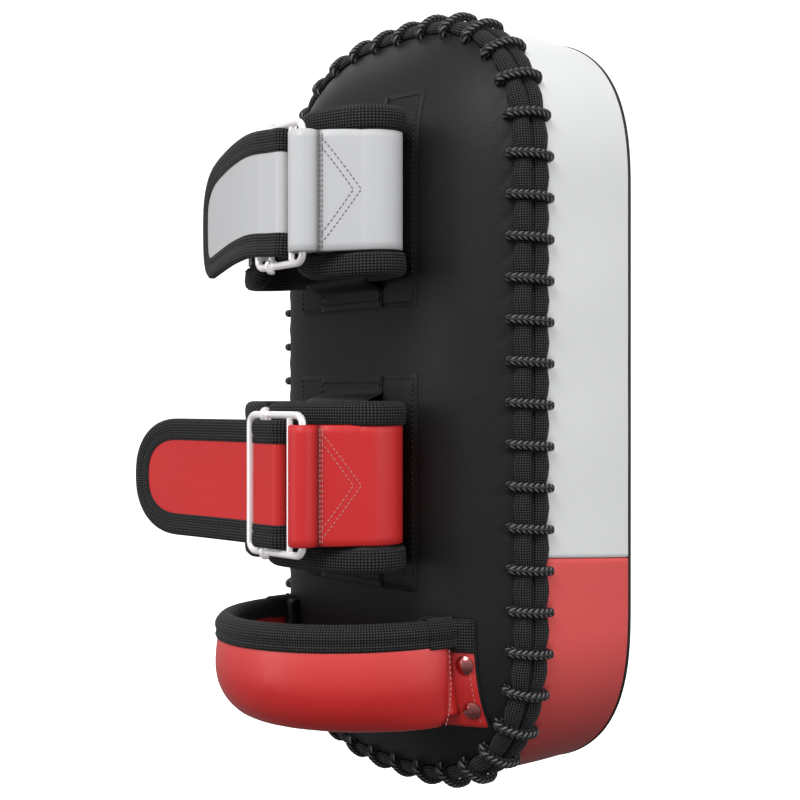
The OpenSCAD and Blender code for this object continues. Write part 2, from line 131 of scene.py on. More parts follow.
def make_stage():
    """A pale floor that curves up into a wall all round, and a world that is paler above than below."""
    bend = np.linspace(0.1, np.pi / 2, 12)
    edge = FLOOR_R + COVE_R
    radii = np.concatenate([np.linspace(0.0, FLOOR_R, 12), FLOOR_R + COVE_R * np.sin(bend), [edge]])
    heights = np.concatenate([np.zeros(12), COVE_R * (1 - np.cos(bend)), [WALL_H]]) - HALF_H - FLOOR_DROP
    turn = circle(64)
    points = np.stack([
        radii[:, None] * np.cos(turn), radii[:, None] * np.sin(turn), np.repeat(heights[:, None], 64, 1)
    ], -1)
    stage = grid_object("studio_floor", points, closed=(False, True))
    stage.data.materials.append(make_glow("studio_white", (0.93, 0.93, 0.93), 0.8, 0.86))
    stage.visible_diffuse = False
    stage.visible_glossy = False
    world = bpy.data.worlds.new("studio")
    world.use_nodes = True
    tree = world.node_tree
    where = tree.nodes.new("ShaderNodeTexCoord").outputs["Generated"]
    part = tree.nodes.new("ShaderNodeSeparateXYZ")
    tree.links.new(where, part.inputs[0])
    lift = tree.nodes.new("ShaderNodeMapRange")
    for end, value in (
        ("From Min", -0.9), ("From Max", 0.5), ("To Min", WORLD_BELOW), ("To Max", WORLD_ABOVE)
    ):
        lift.inputs[end].default_value = value
    tree.links.new(part.outputs["Z"], lift.inputs["Value"])
    tree.links.new(lift.outputs["Result"], tree.nodes["Background"].inputs["Strength"])
    tree.nodes["Background"].inputs["Color"].default_value = (1, 1, 1, 1)
    bpy.context.scene.world = world
    bpy.context.scene.view_settings.view_transform = "Standard"


# ---------------------------------------------------------------- mesh helpers

def mesh_object(name, points, faces, uv=None):
    mesh = bpy.data.meshes.new(name)
    mesh.from_pydata(points.tolist() if hasattr(points, "tolist") else points, [], faces)
    mesh.polygons.foreach_set("use_smooth", [True] * len(mesh.polygons))
    if uv is not None:
        layer = mesh.uv_layers.new(name="cloth")
        order = np.zeros(len(mesh.loops), int)
        mesh.loops.foreach_get("vertex_index", order)
        layer.data.foreach_set("uv", np.asarray(uv, float)[order].ravel())
    mesh.validate()
    edit = bmesh.new()
    edit.from_mesh(mesh)
    bmesh.ops.recalc_face_normals(edit, faces=edit.faces)
    edit.to_mesh(mesh)
    edit.free()
    mesh.update()
    obj = bpy.data.objects.new(name, mesh)
    bpy.context.collection.objects.link(obj)
    return obj


def lengths(path):
    """How far along a polyline each of its points lies."""
    return np.concatenate([[0], np.cumsum(np.linalg.norm(np.diff(path, axis=0), axis=1))])


def values_at(marks, steps, values):
    """Rows of values that lie at distances steps, read off at marks."""
    return np.stack([np.interp(marks, steps, values[:, k]) for k in range(values.shape[1])], 1)


def circle(sides):
    """Even angles round a full turn."""
    return np.linspace(0, 2 * np.pi, sides + 1)[:-1]


def smooth_step(k):
    return k * k * (3 - 2 * k)


def edge_round(edge, width):
    """0 at a leather's edge, rounding over to 1 from width in."""
    return np.clip(edge / width, 0, 1) ** 0.5


def middle_z(node):
    low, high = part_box(node)
    return (low.z + high.z) / 2


def grid_faces(rows, cols, closed, first=0):
    """The quads of a grid of points. closed says whether it joins up along its rows and its columns."""
    faces = []
    for i in range(rows if closed[0] else rows - 1):
        for j in range(cols if closed[1] else cols - 1):
            i2, j2 = (i + 1) % rows, (j + 1) % cols
            faces.append([first + k for k in (i * cols + j, i2 * cols + j, i2 * cols + j2, i * cols + j2)])
    return faces


def grid_object(name, points, closed=(False, False), caps=False):
    """A grid of points[row, column] as quads. caps closes the two ends of a tube. UVs run in metres."""
    rows, cols = points.shape[:2]
    faces = grid_faces(rows, cols, closed)
    if caps:
        faces += [list(range(cols)), list(range((rows - 1) * cols, rows * cols))[::-1]]
    along = np.linalg.norm(np.diff(points, axis=0), axis=2).mean(1)
    across = np.linalg.norm(np.diff(points, axis=1), axis=2).mean(0)
    u = np.concatenate([[0], np.cumsum(along)])
    v = np.concatenate([[0], np.cumsum(across)])
    uv = np.stack(np.broadcast_arrays(u[:, None], v[None, :]), -1).reshape(-1, 2)
    return mesh_object(name, points.reshape(-1, 3), faces, uv)


def tube_object(name, points):
    """A grid whose columns close on themselves, with both ends capped."""
    return grid_object(name, points, closed=(False, True), caps=True)


def unit(v):
    return v / np.maximum(np.linalg.norm(v, axis=-1, keepdims=True), 1e-12)


def resample(path, count, closed=False):
    """Points at equal steps along a polyline."""
    path = np.asarray(path, float)
    if closed:
        path = np.vstack([path, path[:1]])
    steps = lengths(path)
    marks = np.linspace(0, steps[-1], count + 1)[:-1] if closed else np.linspace(0, steps[-1], count)
    return values_at(marks, steps, path)


def smooth_path(points, rounds=3, closed=False):
    """Chaikin's corner cutting. An open path keeps its two end points."""
    path = np.asarray(points, float)
    for _ in range(rounds):
        here, ahead = (path, np.roll(path, -1, 0)) if closed else (path[:-1], path[1:])
        cut = np.stack([here * 0.75 + ahead * 0.25, here * 0.25 + ahead * 0.75], 1).reshape(-1, path.shape[1])
        path = cut if closed else np.vstack([path[:1], cut, path[-1:]])
    return path


def tangents(path, closed=False):
    if closed:
        return unit(np.roll(path, -1, 0) - np.roll(path, 1, 0))
    return unit(np.gradient(path, axis=0))


def left_normals(path):
    """Unit normals on the left of a path in the plane."""
    t = tangents(path)
    return np.stack([-t[:, 1], t[:, 0]], 1)


def sweep(path, up, profile, closed=False):
    """Points of a profile carried along a path. up is one vector per point, and a profile point is
    (towards up, towards the side), the same for all or one list per path point."""
    t = tangents(path, closed)
    side = unit(np.cross(t, up))
    up = unit(np.cross(side, t))
    profile = np.asarray(profile, float)
    if profile.ndim == 2:
        profile = np.broadcast_to(profile, (len(path),) + profile.shape)
    return path[:, None] + profile[..., :1] * up[:, None] + profile[..., 1:] * side[:, None]


def place(obj, body, slot, material, *nodes):
    """Gives a piece its material and its body, and hides the CAD nodes that it stands for. slot is not used.
    """
    obj.data.materials.append(material)
    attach(obj, body)
    if nodes:
        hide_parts(*nodes)
    return obj


def dress(node, material):
    """A better material on a CAD node that stays."""
    for entry in frame["nodes"][node].material_slots:
        entry.material = material


# ---------------------------------------------------------------- materials

def srgb(*values):
    """Linear colour from 0 to 255 values."""
    return tuple((v / 255 / 12.92) if v < 11 else ((v / 255 + 0.055) / 1.055) ** 2.4 for v in values)


class Nodes:
    """A short way to write a node tree."""

    def __init__(self, name):
        self.material = bpy.data.materials.new(name)
        self.material.use_nodes = True
        self.tree = self.material.node_tree
        self.shader = self.tree.nodes["Principled BSDF"]

    def add(self, kind, settings=(), **inputs):
        node = self.tree.nodes.new(kind)
        for key, value in dict(settings).items():
            setattr(node, key, value)
        for key, value in inputs.items():
            self.put(node.inputs[key.replace("_", " ")], value)
        return node

    def put(self, socket, value):
        if isinstance(value, bpy.types.NodeSocket):
            self.tree.links.new(value, socket)
        else:
            socket.default_value = value

    def math(self, operation, a, b=0.0, c=0.0):
        node = self.tree.nodes.new("ShaderNodeMath")
        node.operation = operation
        for socket, value in zip(node.inputs, (a, b, c)):
            self.put(socket, value)
        return node.outputs[0]

    def mix(self, factor, a, b):
        node = self.tree.nodes.new("ShaderNodeMix")
        node.data_type = "RGBA"
        self.put(node.inputs[0], factor)
        self.put(node.inputs[6], (*a, 1) if isinstance(a, tuple) else a)
        self.put(node.inputs[7], (*b, 1) if isinstance(b, tuple) else b)
        return node.outputs[2]

    def ramp(self, value, low, high):
        node = self.add("ShaderNodeMapRange", Value=value)
        node.inputs["From Min"].default_value = low
        node.inputs["From Max"].default_value = high
        return node.outputs["Result"]

    def plus(self, a, b):
        return self.math("ADD", a, b)

    def times(self, a, b):
        return self.math("MULTIPLY", a, b)

    def where(self):
        return self.add("ShaderNodeTexCoord").outputs["Object"]

    def cloth(self):
        """How far along and across its own surface a point of a piece lies, as X and Y in metres."""
        uv = self.add("ShaderNodeUVMap", {"uv_map": "cloth"}).outputs["UV"]
        return self.add("ShaderNodeSeparateXYZ", Vector=uv).outputs

    def noise(self, scale, detail=2.0, **more):
        return self.add("ShaderNodeTexNoise", Scale=scale, Detail=detail, **more).outputs["Fac"]

    def surface(self, colour, roughness):
        self.put(self.shader.inputs["Base Color"], colour)
        self.put(self.shader.inputs["Roughness"], roughness)

    def bump(self, height, strength, distance):
        node = self.add("ShaderNodeBump", Strength=strength, Distance=distance, Height=height)
        self.put(self.shader.inputs["Normal"], node.outputs["Normal"])


def make_plain(name, colour, roughness):
    n = Nodes(name)
    n.surface(n.mix(n.noise(3.0), colour, tuple(c * 0.99 for c in colour)), roughness)
    return n.material


def make_glow(name, colour, roughness, glow):
    """A pale studio surface that also shines a little."""
    material = make_plain(name, colour, roughness)
    shader = material.node_tree.nodes["Principled BSDF"]
    shader.inputs["Emission Color"].default_value = (1, 1, 1, 1)
    shader.inputs["Emission Strength"].default_value = glow
    return material


# Painted shade: how far the darkening near other surfaces reaches, and the width, place and darkness of the
# band along the straps' crease.
OCCLUSION_SHADE_REACH = 9 * MM
CREASE_FADE = 3.6 * MM
CREASE_ALONG = 43.1 * MM
CREASE_SHADE_DARK = 0.22


def make_leather(
    name, colour, roughness=0.42, grain=0.16, wear=0.05, gloss=0.4, low=None, painted_shade_z=(0, 1), crease_shade_at=None
):
    """Coated leather: pebbled grain, faint creases, uneven gloss and slightly paler raised spots. low is the
    colour of painted shade that it falls to between the two heights given with it. The crease position is
    how far along the strap a sewn crease lies, where a band of painted shade darkens the leather."""
    n = Nodes(name)
    where = n.where()
    smooth = {"feature": "SMOOTH_F1"}
    cells = n.add("ShaderNodeTexVoronoi", smooth, Vector=where, Scale=780.0, Smoothness=0.6)
    pebble = cells.outputs["Distance"]
    fine = n.noise(2400.0, 3.0, Vector=where)
    crease = n.noise(42.0, 5.0, Vector=where, Distortion=0.6)
    cloud = n.noise(11.0, Vector=where)
    height = n.plus(n.plus(n.times(pebble, 0.55), n.times(fine, 0.25)), n.times(crease, 0.6))
    pale = tuple(min(1.0, c * (1 + wear) + 0.02 * wear) for c in colour)
    deep = tuple(c * (1 - 1.6 * wear) for c in colour)
    tone = n.mix(n.ramp(cloud, 0.3, 0.7), deep, colour)
    tone = n.mix(n.times(n.ramp(pebble, 0.2, 0.9), 0.5), tone, pale)
    # Painted shade: the colour falls to low towards the bottom, between the two heights given.
    if low is not None:
        up = n.add("ShaderNodeSeparateXYZ", Vector=where).outputs["Z"]
        tone = n.mix(n.ramp(up, *painted_shade_z), low, tone)
    # Painted shade: a dark band along the sewn crease, fading out to either side.
    if crease_shade_at is not None:
        away = n.math("ABSOLUTE", n.math("SUBTRACT", n.cloth()["X"], crease_shade_at))
        tone = n.mix(n.ramp(away, 0.0, CREASE_FADE), tuple(c * CREASE_SHADE_DARK for c in colour), tone)
    # Painted shade: the leather is darkened where other surfaces lie close, in its creases and beside the
    # webbing.
    near = n.add("ShaderNodeAmbientOcclusion", {"samples": 6}, Distance=OCCLUSION_SHADE_REACH).outputs["AO"]
    tone = n.mix(n.ramp(near, 0.15, 0.75), tuple(c * 0.35 for c in colour), tone)
    n.surface(tone, n.plus(n.math("MULTIPLY_ADD", cloud, 0.10, roughness - 0.05), n.times(fine, 0.06)))
    n.shader.inputs["Specular IOR Level"].default_value = gloss
    n.bump(height, grain, 0.0005)
    return n.material


def make_webbing(name, colour, rib=0.00125, weave=0.00125):
    """Ribbed woven tape: ribs along the tape, a finer weave across it, and paler thread tops, which are a
    painted highlight, with painted shade between them.
    """
    n = Nodes(name)
    cloth = n.cloth()
    ribs = n.math("SINE", n.times(cloth["Y"], 2 * math.pi / rib))
    picks = n.math("SINE", n.times(cloth["X"], 2 * math.pi / weave))
    fuzz = n.noise(1500.0, 3.0)
    height = n.plus(n.plus(n.times(ribs, 0.32), n.times(picks, 0.30)), n.times(fuzz, 0.3))
    # Painted highlight and shade: the thread tops are paler and the hollows between them darker.
    pale = tuple(c * 9 + 0.03 for c in colour)
    tone = n.mix(n.ramp(height, 0.1, 0.85), tuple(c * 0.4 for c in colour), pale)
    n.surface(tone, n.math("MULTIPLY_ADD", fuzz, 0.2, 0.55))
    n.shader.inputs["Sheen Weight"].default_value = 0.06
    n.shader.inputs["Sheen Roughness"].default_value = 0.4
    n.shader.inputs["Specular IOR Level"].default_value = 0.2
    n.bump(height, 0.9, 0.0004)
    return n.material


def make_cord_material(name, colour):
    """Braided cord: four rows of slanted strands, with a painted highlight, pale glints, on their tops and
    painted shade between them. It follows the relief that make_lacing gives the cord."""
    n = Nodes(name)
    cloth = n.cloth()
    turn = n.times(cloth["Y"], 2 / CORD_R)
    fold = n.math("ARCCOSINE", n.math("COSINE", turn))
    run = n.times(cloth["X"], 2 * math.pi / CORD_PITCH)
    wave = n.math("COSINE", n.math("MULTIPLY_ADD", fold, CORD_SLANT, run))
    bulge = n.math("POWER", n.math("ABSOLUTE", n.math("SINE", turn)), 0.5)
    strand = n.times(n.math("MULTIPLY_ADD", wave, 0.5, 0.5), bulge)
    fuzz = n.noise(2200.0)
    # Painted highlight: pale glints on the strand tops, with painted shade between the strands.
    top = n.ramp(n.plus(strand, n.times(fuzz, 0.4)), 0.6, 1.15)
    tone = n.mix(top, tuple(c * 0.4 for c in colour), tuple(c * 12 + 0.10 for c in colour))
    n.surface(tone, n.math("MULTIPLY_ADD", fuzz, 0.2, 0.42))
    n.shader.inputs["Specular IOR Level"].default_value = 0.3
    n.bump(n.plus(strand, fuzz), 0.5, 0.0003)
    return n.material


def make_pile(name, colour):
    """Hook or loop pile."""
    n = Nodes(name)
    where = n.where()
    cells = n.add("ShaderNodeTexVoronoi", Vector=where, Scale=1100.0).outputs["Distance"]
    fuzz = n.noise(900.0, 6.0, Vector=where)
    tone = n.mix(fuzz, colour, tuple(c * 2.5 + 0.01 for c in colour))
    n.surface(tone, n.math("MULTIPLY_ADD", fuzz, 0.1, 0.85))
    n.shader.inputs["Sheen Weight"].default_value = 0.6
    n.bump(n.plus(cells, fuzz), 0.9, 0.0006)
    return n.material


def make_thread(name, colour):
    n = Nodes(name)
    fuzz = n.noise(2500.0)
    n.surface(n.mix(fuzz, colour, tuple(c * 0.7 for c in colour)), n.math("MULTIPLY_ADD", fuzz, 0.2, 0.45))
    return n.material


def make_chrome(name, dull=(0.90, 0.85, 0.86), bright=(0.97, 0.94, 0.95), metal=0.35, glow=0.12):
    """Polished plate with faint smears and fine scratches. Its default pale pink-white tone, mostly not
    metallic, is a painted reflection of the pale studio and the red leather, and its glow is painted light.
    """
    n = Nodes(name)
    where = n.where()
    smear = n.noise(120.0, 4.0, Vector=where)
    scratch = n.noise(2600.0, Vector=where)
    n.surface(n.mix(smear, dull, bright), n.math("MULTIPLY_ADD", smear, 0.12, 0.12))
    n.shader.inputs["Metallic"].default_value = metal
    # Painted light: the plate glows a little of itself.
    n.shader.inputs["Emission Color"].default_value = (1, 0.95, 0.96, 1)
    n.shader.inputs["Emission Strength"].default_value = glow
    n.bump(n.plus(scratch, smear), 0.04, 0.0002)
    return n.material


def make_foam(name):
    """Open-celled foam."""
    n = Nodes(name)
    cells = n.add("ShaderNodeTexVoronoi", Vector=n.where(), Scale=900.0).outputs["Distance"]
    n.surface(n.mix(cells, srgb(60, 61, 66), srgb(84, 85, 90)), 0.9)
    n.bump(cells, 0.5, 0.0004)
    return n.material


CORD_R = 2.3 * MM
CORD_SLANT = 2.2
CORD_PITCH = 2.6 * MM
CORD_SEAM = -math.pi / 2

BLACK = make_leather("black_leather", srgb(27, 27, 28), roughness=0.50, grain=0.24, wear=0.10, gloss=0.26)
FACE_BLACK = make_leather("face_leather", srgb(30, 30, 32), roughness=0.42, grain=0.20, wear=0.10, gloss=0.35)
WHITE = make_leather("white_leather", srgb(234, 235, 236), grain=0.14, wear=0.015)
GREY = make_leather("grey_leather", srgb(207, 208, 210), roughness=0.38, grain=0.08, wear=0.015)
# The red wall falls to a deep red low down: painted shade.
RED = make_leather(
    "red_leather", srgb(234, 89, 87), grain=0.20, low=srgb(128, 30, 30), painted_shade_z=(-0.20, -0.116)
)
STRAP_RED = make_leather("strap_leather", srgb(210, 42, 43), grain=0.10)
# These strap leathers carry a band of painted shade along the sewn crease beside the buckle's roll.
GREY_CREASE_SHADED = make_leather(
    "grey_creased_leather", srgb(207, 208, 210), roughness=0.38, grain=0.08, wear=0.015,
    crease_shade_at=CREASE_ALONG
)
RED_CREASE_SHADED = make_leather("red_creased_leather", srgb(210, 42, 43), grain=0.10, crease_shade_at=CREASE_ALONG)
# The guard's leather is pale pink near the rim, a painted highlight, and falls to a deeper red lower down,
# painted shade.
GUARD_RED = make_leather(
    "guard_leather", srgb(232, 84, 83), roughness=0.32, grain=0.09, low=srgb(202, 42, 42),
    painted_shade_z=(-0.140, -0.112)
)
PIPING = make_leather("piping_leather", srgb(22, 22, 23), roughness=0.45, grain=0.1)
TAPE = make_webbing("edge_webbing", srgb(20, 20, 21))
BINDING = make_webbing("cuff_webbing", srgb(18, 18, 19), rib=0.0014, weave=0.0013)
CORD = make_cord_material("braided_cord", srgb(20, 20, 21))
PILE = make_pile("fastener_pile", srgb(20, 20, 21))
CHROME = make_chrome("chrome")
# Painted reflection: the rivets' dark red metal stands in for the red leather reflected in their chrome.
RIVET_RED_REFLECTION = make_chrome("rivet_metal", dull=(0.50, 0.14, 0.14), bright=(0.62, 0.22, 0.22), metal=1.0, glow=0.0)
FOAM = make_foam("foam")
BLACK_THREAD = make_thread("black_thread", srgb(8, 8, 9))
PALE_THREAD = make_thread("pale_thread", srgb(226, 150, 146))
GREY_THREAD = make_thread("grey_thread", srgb(120, 120, 124))

make_stage()

# ---------------------------------------------------------------- the pad's outline and crown

def arc_outline(shrink, count):
    """Points of the outline pulled in by shrink, at even angles, anticlockwise from the right side."""
    t = np.linspace(0, np.pi / 2, count)
    x = np.maximum(HALF_W - shrink, 0.4 * MM) * np.cos(t) ** (2 / END_POWER)
    z = END_Z + np.maximum(END_H - shrink, 0.4 * MM) * np.sin(t) ** (2 / END_POWER)
    quarter = np.stack([x, z], 1)
    left, right = (quarter * [-1, 1])[::-1][1:], (quarter * [1, -1])[::-1][1:]
    return np.concatenate([quarter, left, quarter * [-1, -1], right])


def outline(shrink, count):
    """Evenly spaced points of the outline pulled in by shrink, in (x, z)."""
    return resample(arc_outline(shrink, 400), count, closed=True)


def rise(inset):
    """How far the crowned back stands over the seam at a distance in from its edge."""
    return CROWN * (1 - np.clip((HALF_W - inset) / HALF_W, 0, 1) ** CROWN_POWER)


def outline_at(count):
    """Evenly spaced points of the edge, with their tangents and outward normals, in (x, z)."""
    p = outline(0, count)
    t = tangents(p, closed=True)
    return p, t, np.stack([t[:, 1], -t[:, 0]], 1)


def inset_of(x, z):
    """Distance in from the edge of a point (x, z) on the back, found on the family of shrunk outlines."""
    low, high = np.zeros_like(x), np.full_like(x, HALF_W)
    for _ in range(24):
        mid = (low + high) / 2
        a, c = np.maximum(HALF_W - mid, 1e-6), np.maximum(END_H - mid, 1e-6)
        inside = (np.abs(x) / a) ** END_POWER + (np.maximum(np.abs(z) - END_Z, 0) / c) ** END_POWER < 1
        low, high = np.where(inside, mid, low), np.where(inside, high, mid)
    return low


def back_surface(x, z, lift=0.0):
    """Points on the crowned back, lifted off it."""
    x, z = np.asarray(x, float), np.asarray(z, float)
    return np.stack([x, SEAM_Y + rise(inset_of(x, z)) + lift, z], -1)


def loop_phase(count):
    """1 at each lacing loop and 0 half way between two, for evenly spaced points."""
    k = np.arange(count) / count * LOOPS - LOOP_SHIFT
    return np.abs(np.cos(np.pi * k))


def pinch(count, sharp=6):
    return loop_phase(count) ** sharp


# ---------------------------------------------------------------- body panels

EDGE_COUNT = LOOPS * 16


def edge_row(p, y, n=None, out=0.0):
    """Points (x, z) put at a depth y, moved out along their normals n."""
    if n is not None:
        p = p + n * np.broadcast_to(out, len(p))[:, None]
    return np.stack([p[:, 0], np.broadcast_to(y, len(p)), p[:, 1]], 1)


def capped_panel(name, rows):
    """Rings of EDGE_COUNT points, the last of them closed by one face."""
    cap = list(range((len(rows) - 1) * EDGE_COUNT, len(rows) * EDGE_COUNT))
    return mesh_object(name, np.concatenate(rows), grid_faces(len(rows), EDGE_COUNT, (False, True)) + [cap])


def make_back_panel():
    """The crowned leather back, drawn in at each lacing hole."""
    insets = np.concatenate([np.linspace(0, 14, 9), np.linspace(16, 60, 18), np.linspace(64, 91, 6)]) * MM
    pucker = pinch(EDGE_COUNT, 10)
    rows = []
    for inset in insets:
        row = outline(inset, EDGE_COUNT)
        near_edge = math.exp(-(((inset / MM) - 7) / 3.5) ** 2)
        rows.append(edge_row(row, SEAM_Y + rise(inset) - 0.35 * MM * near_edge * pucker))
    panel = capped_panel("back_panel_leather", rows)
    return place(panel, "pad", "black_leather", BLACK, "back_panel")


# The colour seam on the side wall: how much higher it is at the laced edge and at the face than RED_Z,
# how far from it the leather leans with it, and the sewn joint's depth and half width.
WALL_SEAM_LEAN = (2.5 * MM, -2.0 * MM)
WALL_SEAM_REACH = 20 * MM
WALL_SEAM_DEPTH = 1.1 * MM
WALL_SEAM_HALF = 0.5 * MM
# The wall's swell, its ripple, and the puckers at the lacing holes and how far down the wall they lie.
WALL_SWELL = 1.3 * MM
WALL_RIPPLE = 0.25 * MM
WALL_HOLE_DEPTH = 1.1 * MM
WALL_HOLE_AT = 0.155


def make_side_wall(name, node, slot, material, above):
    """The side wall above or below the colour seam: a slight swell, and puckers at the lacing holes."""
    p, _, n = outline_at(EDGE_COUNT)
    at_seam = np.zeros(EDGE_COUNT)
    for side in (-1, 1):
        nearest = np.argmin(np.abs(p[:, 1] - RED_Z) + np.where(p[:, 0] * side > 0, 0, 1))
        p[nearest, 1] = RED_Z
        at_seam[nearest] = 1
        for beside in (nearest - 1, nearest + 1):
            p[beside, 1] = RED_Z + math.copysign(WALL_SEAM_HALF, p[beside, 1] - RED_Z)
    near_seam = np.exp(-((p[:, 1] - RED_Z) / WALL_SEAM_REACH) ** 2)
    ripple = WALL_RIPPLE * np.sin(np.arange(EDGE_COUNT) * 0.11)
    hole = WALL_HOLE_DEPTH * pinch(EDGE_COUNT, 14)
    rows = []
    for f in np.concatenate([np.linspace(0, 0.3, 14), np.linspace(0.34, 1, 26)]):
        swell = WALL_SWELL * math.sin(math.pi * f) ** 0.7 if 0 < f < 1 else 0
        out = swell - hole * math.exp(-((f - WALL_HOLE_AT) / 0.035) ** 2) - WALL_SEAM_DEPTH * at_seam
        row = edge_row(p, SEAM_Y - f * (SEAM_Y - FACE_Y), n, out + ripple * math.sin(math.pi * f))
        row[:, 2] += near_seam * (WALL_SEAM_LEAN[0] + f * (WALL_SEAM_LEAN[1] - WALL_SEAM_LEAN[0]))
        rows.append(row)
    wanted = p[:, 1] >= RED_Z - 1e-6 if above else p[:, 1] <= RED_Z + 1e-6
    faces = grid_faces(len(rows), EDGE_COUNT, (False, True))
    faces = [f for f in faces if all(wanted[k % EDGE_COUNT] for k in f)]
    used = sorted({k for f in faces for k in f})
    index = {k: i for i, k in enumerate(used)}
    obj = mesh_object(name, np.concatenate(rows)[used], [[index[k] for k in f] for f in faces])
    return place(obj, "pad", slot, material, node)


def make_piping():
    """Thin round piping that closes the front edge."""
    p, _, n = outline_at(EDGE_COUNT)
    path = edge_row(p, FACE_Y + 1.3 * MM, n, -1.0 * MM)
    a = circle(10)
    ring = np.stack([np.cos(a), np.sin(a)], 1) * 1.7 * MM
    obj = grid_object("front_piping", sweep(path, edge_row(n, 0), ring, closed=True), closed=(True, True))
    return place(obj, "pad", "black_leather", PIPING, "edge_piping")


def make_face():
    """The striking face: leather drawn over hard foam, flat with a soft shoulder and a sewn border."""
    border = 17 * MM
    insets = np.concatenate([
        np.linspace(0, 8, 8), [11, 14, 15.5, 16.2, 16.8, 17.4, 18, 19.5, 22], np.linspace(27, 91, 16)
    ]) * MM
    rows = []
    for inset in insets:
        shoulder = 2.2 * MM * math.exp(-inset / (2.6 * MM))
        groove = 0.7 * MM * math.exp(-((inset - border) / (1.0 * MM)) ** 2)
        swell = 0.6 * MM * (1 - math.exp(-inset / (40 * MM)))
        rows.append(edge_row(outline(inset, EDGE_COUNT), FACE_Y + 0.3 * MM + shoulder + groove - swell))
    place(capped_panel("striking_face_leather", rows), "pad", "black_leather", FACE_BLACK, "striking_panel")
    line = edge_row(outline(border, 900), FACE_Y + 0.55 * MM)
    seam = stitches("striking_face_stitching", line, (0, -1, 0), 3.4 * MM, closed=True)
    return place(seam, "pad", "black_leather", BLACK_THREAD)


# ---------------------------------------------------------------- stitching

def stitches(name, line, up, pitch, radius=0.28 * MM, closed=False, fill=0.72):
    """A row of thread stitches along a line: short, slightly sunk, rounded beads of thread."""
    line = np.asarray(line, float)
    total = lengths(np.vstack([line, line[:1]]) if closed else line)[-1]
    count = max(2, int(total / pitch))
    ends = resample(line, count * 10, closed=closed)
    ups = np.broadcast_to(np.asarray(up, float), line.shape)
    ups = values_at(np.linspace(0, len(ups) - 1, count * 10), np.arange(len(ups)), ups)
    verts, faces = [], []
    sides = 6
    shape = [(-1.0, 0.25), (-0.72, 0.85), (0.0, 1.0), (0.72, 0.85), (1.0, 0.25)]
    for k in range(count):
        middle = ends[k * 10 + 4]
        along = unit(ends[min(k * 10 + 7, len(ends) - 1)] - ends[k * 10 + 1])
        side = unit(np.cross(along, unit(ups[k * 10 + 4])))
        u = np.cross(side, along)
        first = len(verts)
        for along_at, width in shape:
            sink = 0.35 * radius * along_at ** 2
            for a in circle(sides):
                outward = side * math.cos(a) * radius * width + u * (math.sin(a) * radius * width - sink)
                verts.append(middle + along * along_at * pitch * fill / 2 + outward)
        faces += grid_faces(len(shape), sides, (False, True), first)
        faces += [[first + j for j in range(sides)],
                  [first + (len(shape) - 1) * sides + j for j in reversed(range(sides))]]
    return mesh_object(name, np.array(verts), faces)


def join(name, objects):
    """Joins unplaced objects into one."""
    bpy.ops.object.select_all(action="DESELECT")
    for obj in objects:
        obj.select_set(True)
    bpy.context.view_layer.objects.active = objects[0]
    bpy.ops.object.join()
    objects[0].name = name
    objects[0].data.name = name
    return objects[0]


# ---------------------------------------------------------------- laced edge

TAPE_COUNT = LOOPS * 26
TAPE_W = 9.4 * MM
BACK_TAPE_IN = 5.3 * MM


def rim_frame(count):
    """Evenly spaced points of the edge in (x, z), with their tangents and normals in the row frame."""
    p, t, n = outline_at(count)
    return p, edge_row(t, 0), edge_row(n, 0)


def make_tape(name, node, back):
    """One of the two edge tapes: a soft padded roll, drawn in at each lacing loop."""
    p, _, n = rim_frame(TAPE_COUNT)
    tight = pinch(TAPE_COUNT, 8)[:, None]
    ease = loop_phase(TAPE_COUNT)[:, None]
    m = np.linspace(0, 1, 15)
    height = (3.5 * MM - 1.5 * MM * tight - 0.5 * MM * ease) * np.sin(np.pi * m) ** 0.55
    if back:
        inset = -0.2 * MM + m * (BACK_TAPE_IN + 0.7 * MM * (1 - ease) - 0.5 * MM * tight)
        y = SEAM_Y + 0.9 * MM + rise(np.maximum(inset, 0)) * 0.98
        slope = math.atan2(rise(BACK_TAPE_IN) - rise(0), BACK_TAPE_IN)
        base = np.stack([p[:, :1] - n[:, :1] * inset, y, p[:, 1:] - n[:, 2:] * inset], -1)
        lift = np.broadcast_to(n[:, None] * math.sin(slope) + np.array([0, math.cos(slope), 0]), base.shape)
    else:
        drop = -0.3 * MM - m * (TAPE_W + 0.9 * MM * (1 - ease) - 0.7 * MM * tight)
        base = np.stack(np.broadcast_arrays(p[:, :1], SEAM_Y + 0.4 * MM + drop, p[:, 1:]), -1)
        lift = np.broadcast_to(n[:, None], base.shape)
    inner = base[:, ::-1][:, 3:-3] - lift[:, 3:-3] * 0.6 * MM
    points = np.concatenate([base + lift * height[..., None], inner], 1)
    return place(grid_object(name, points, closed=(True, True)), "pad", "webbing", TAPE, node)


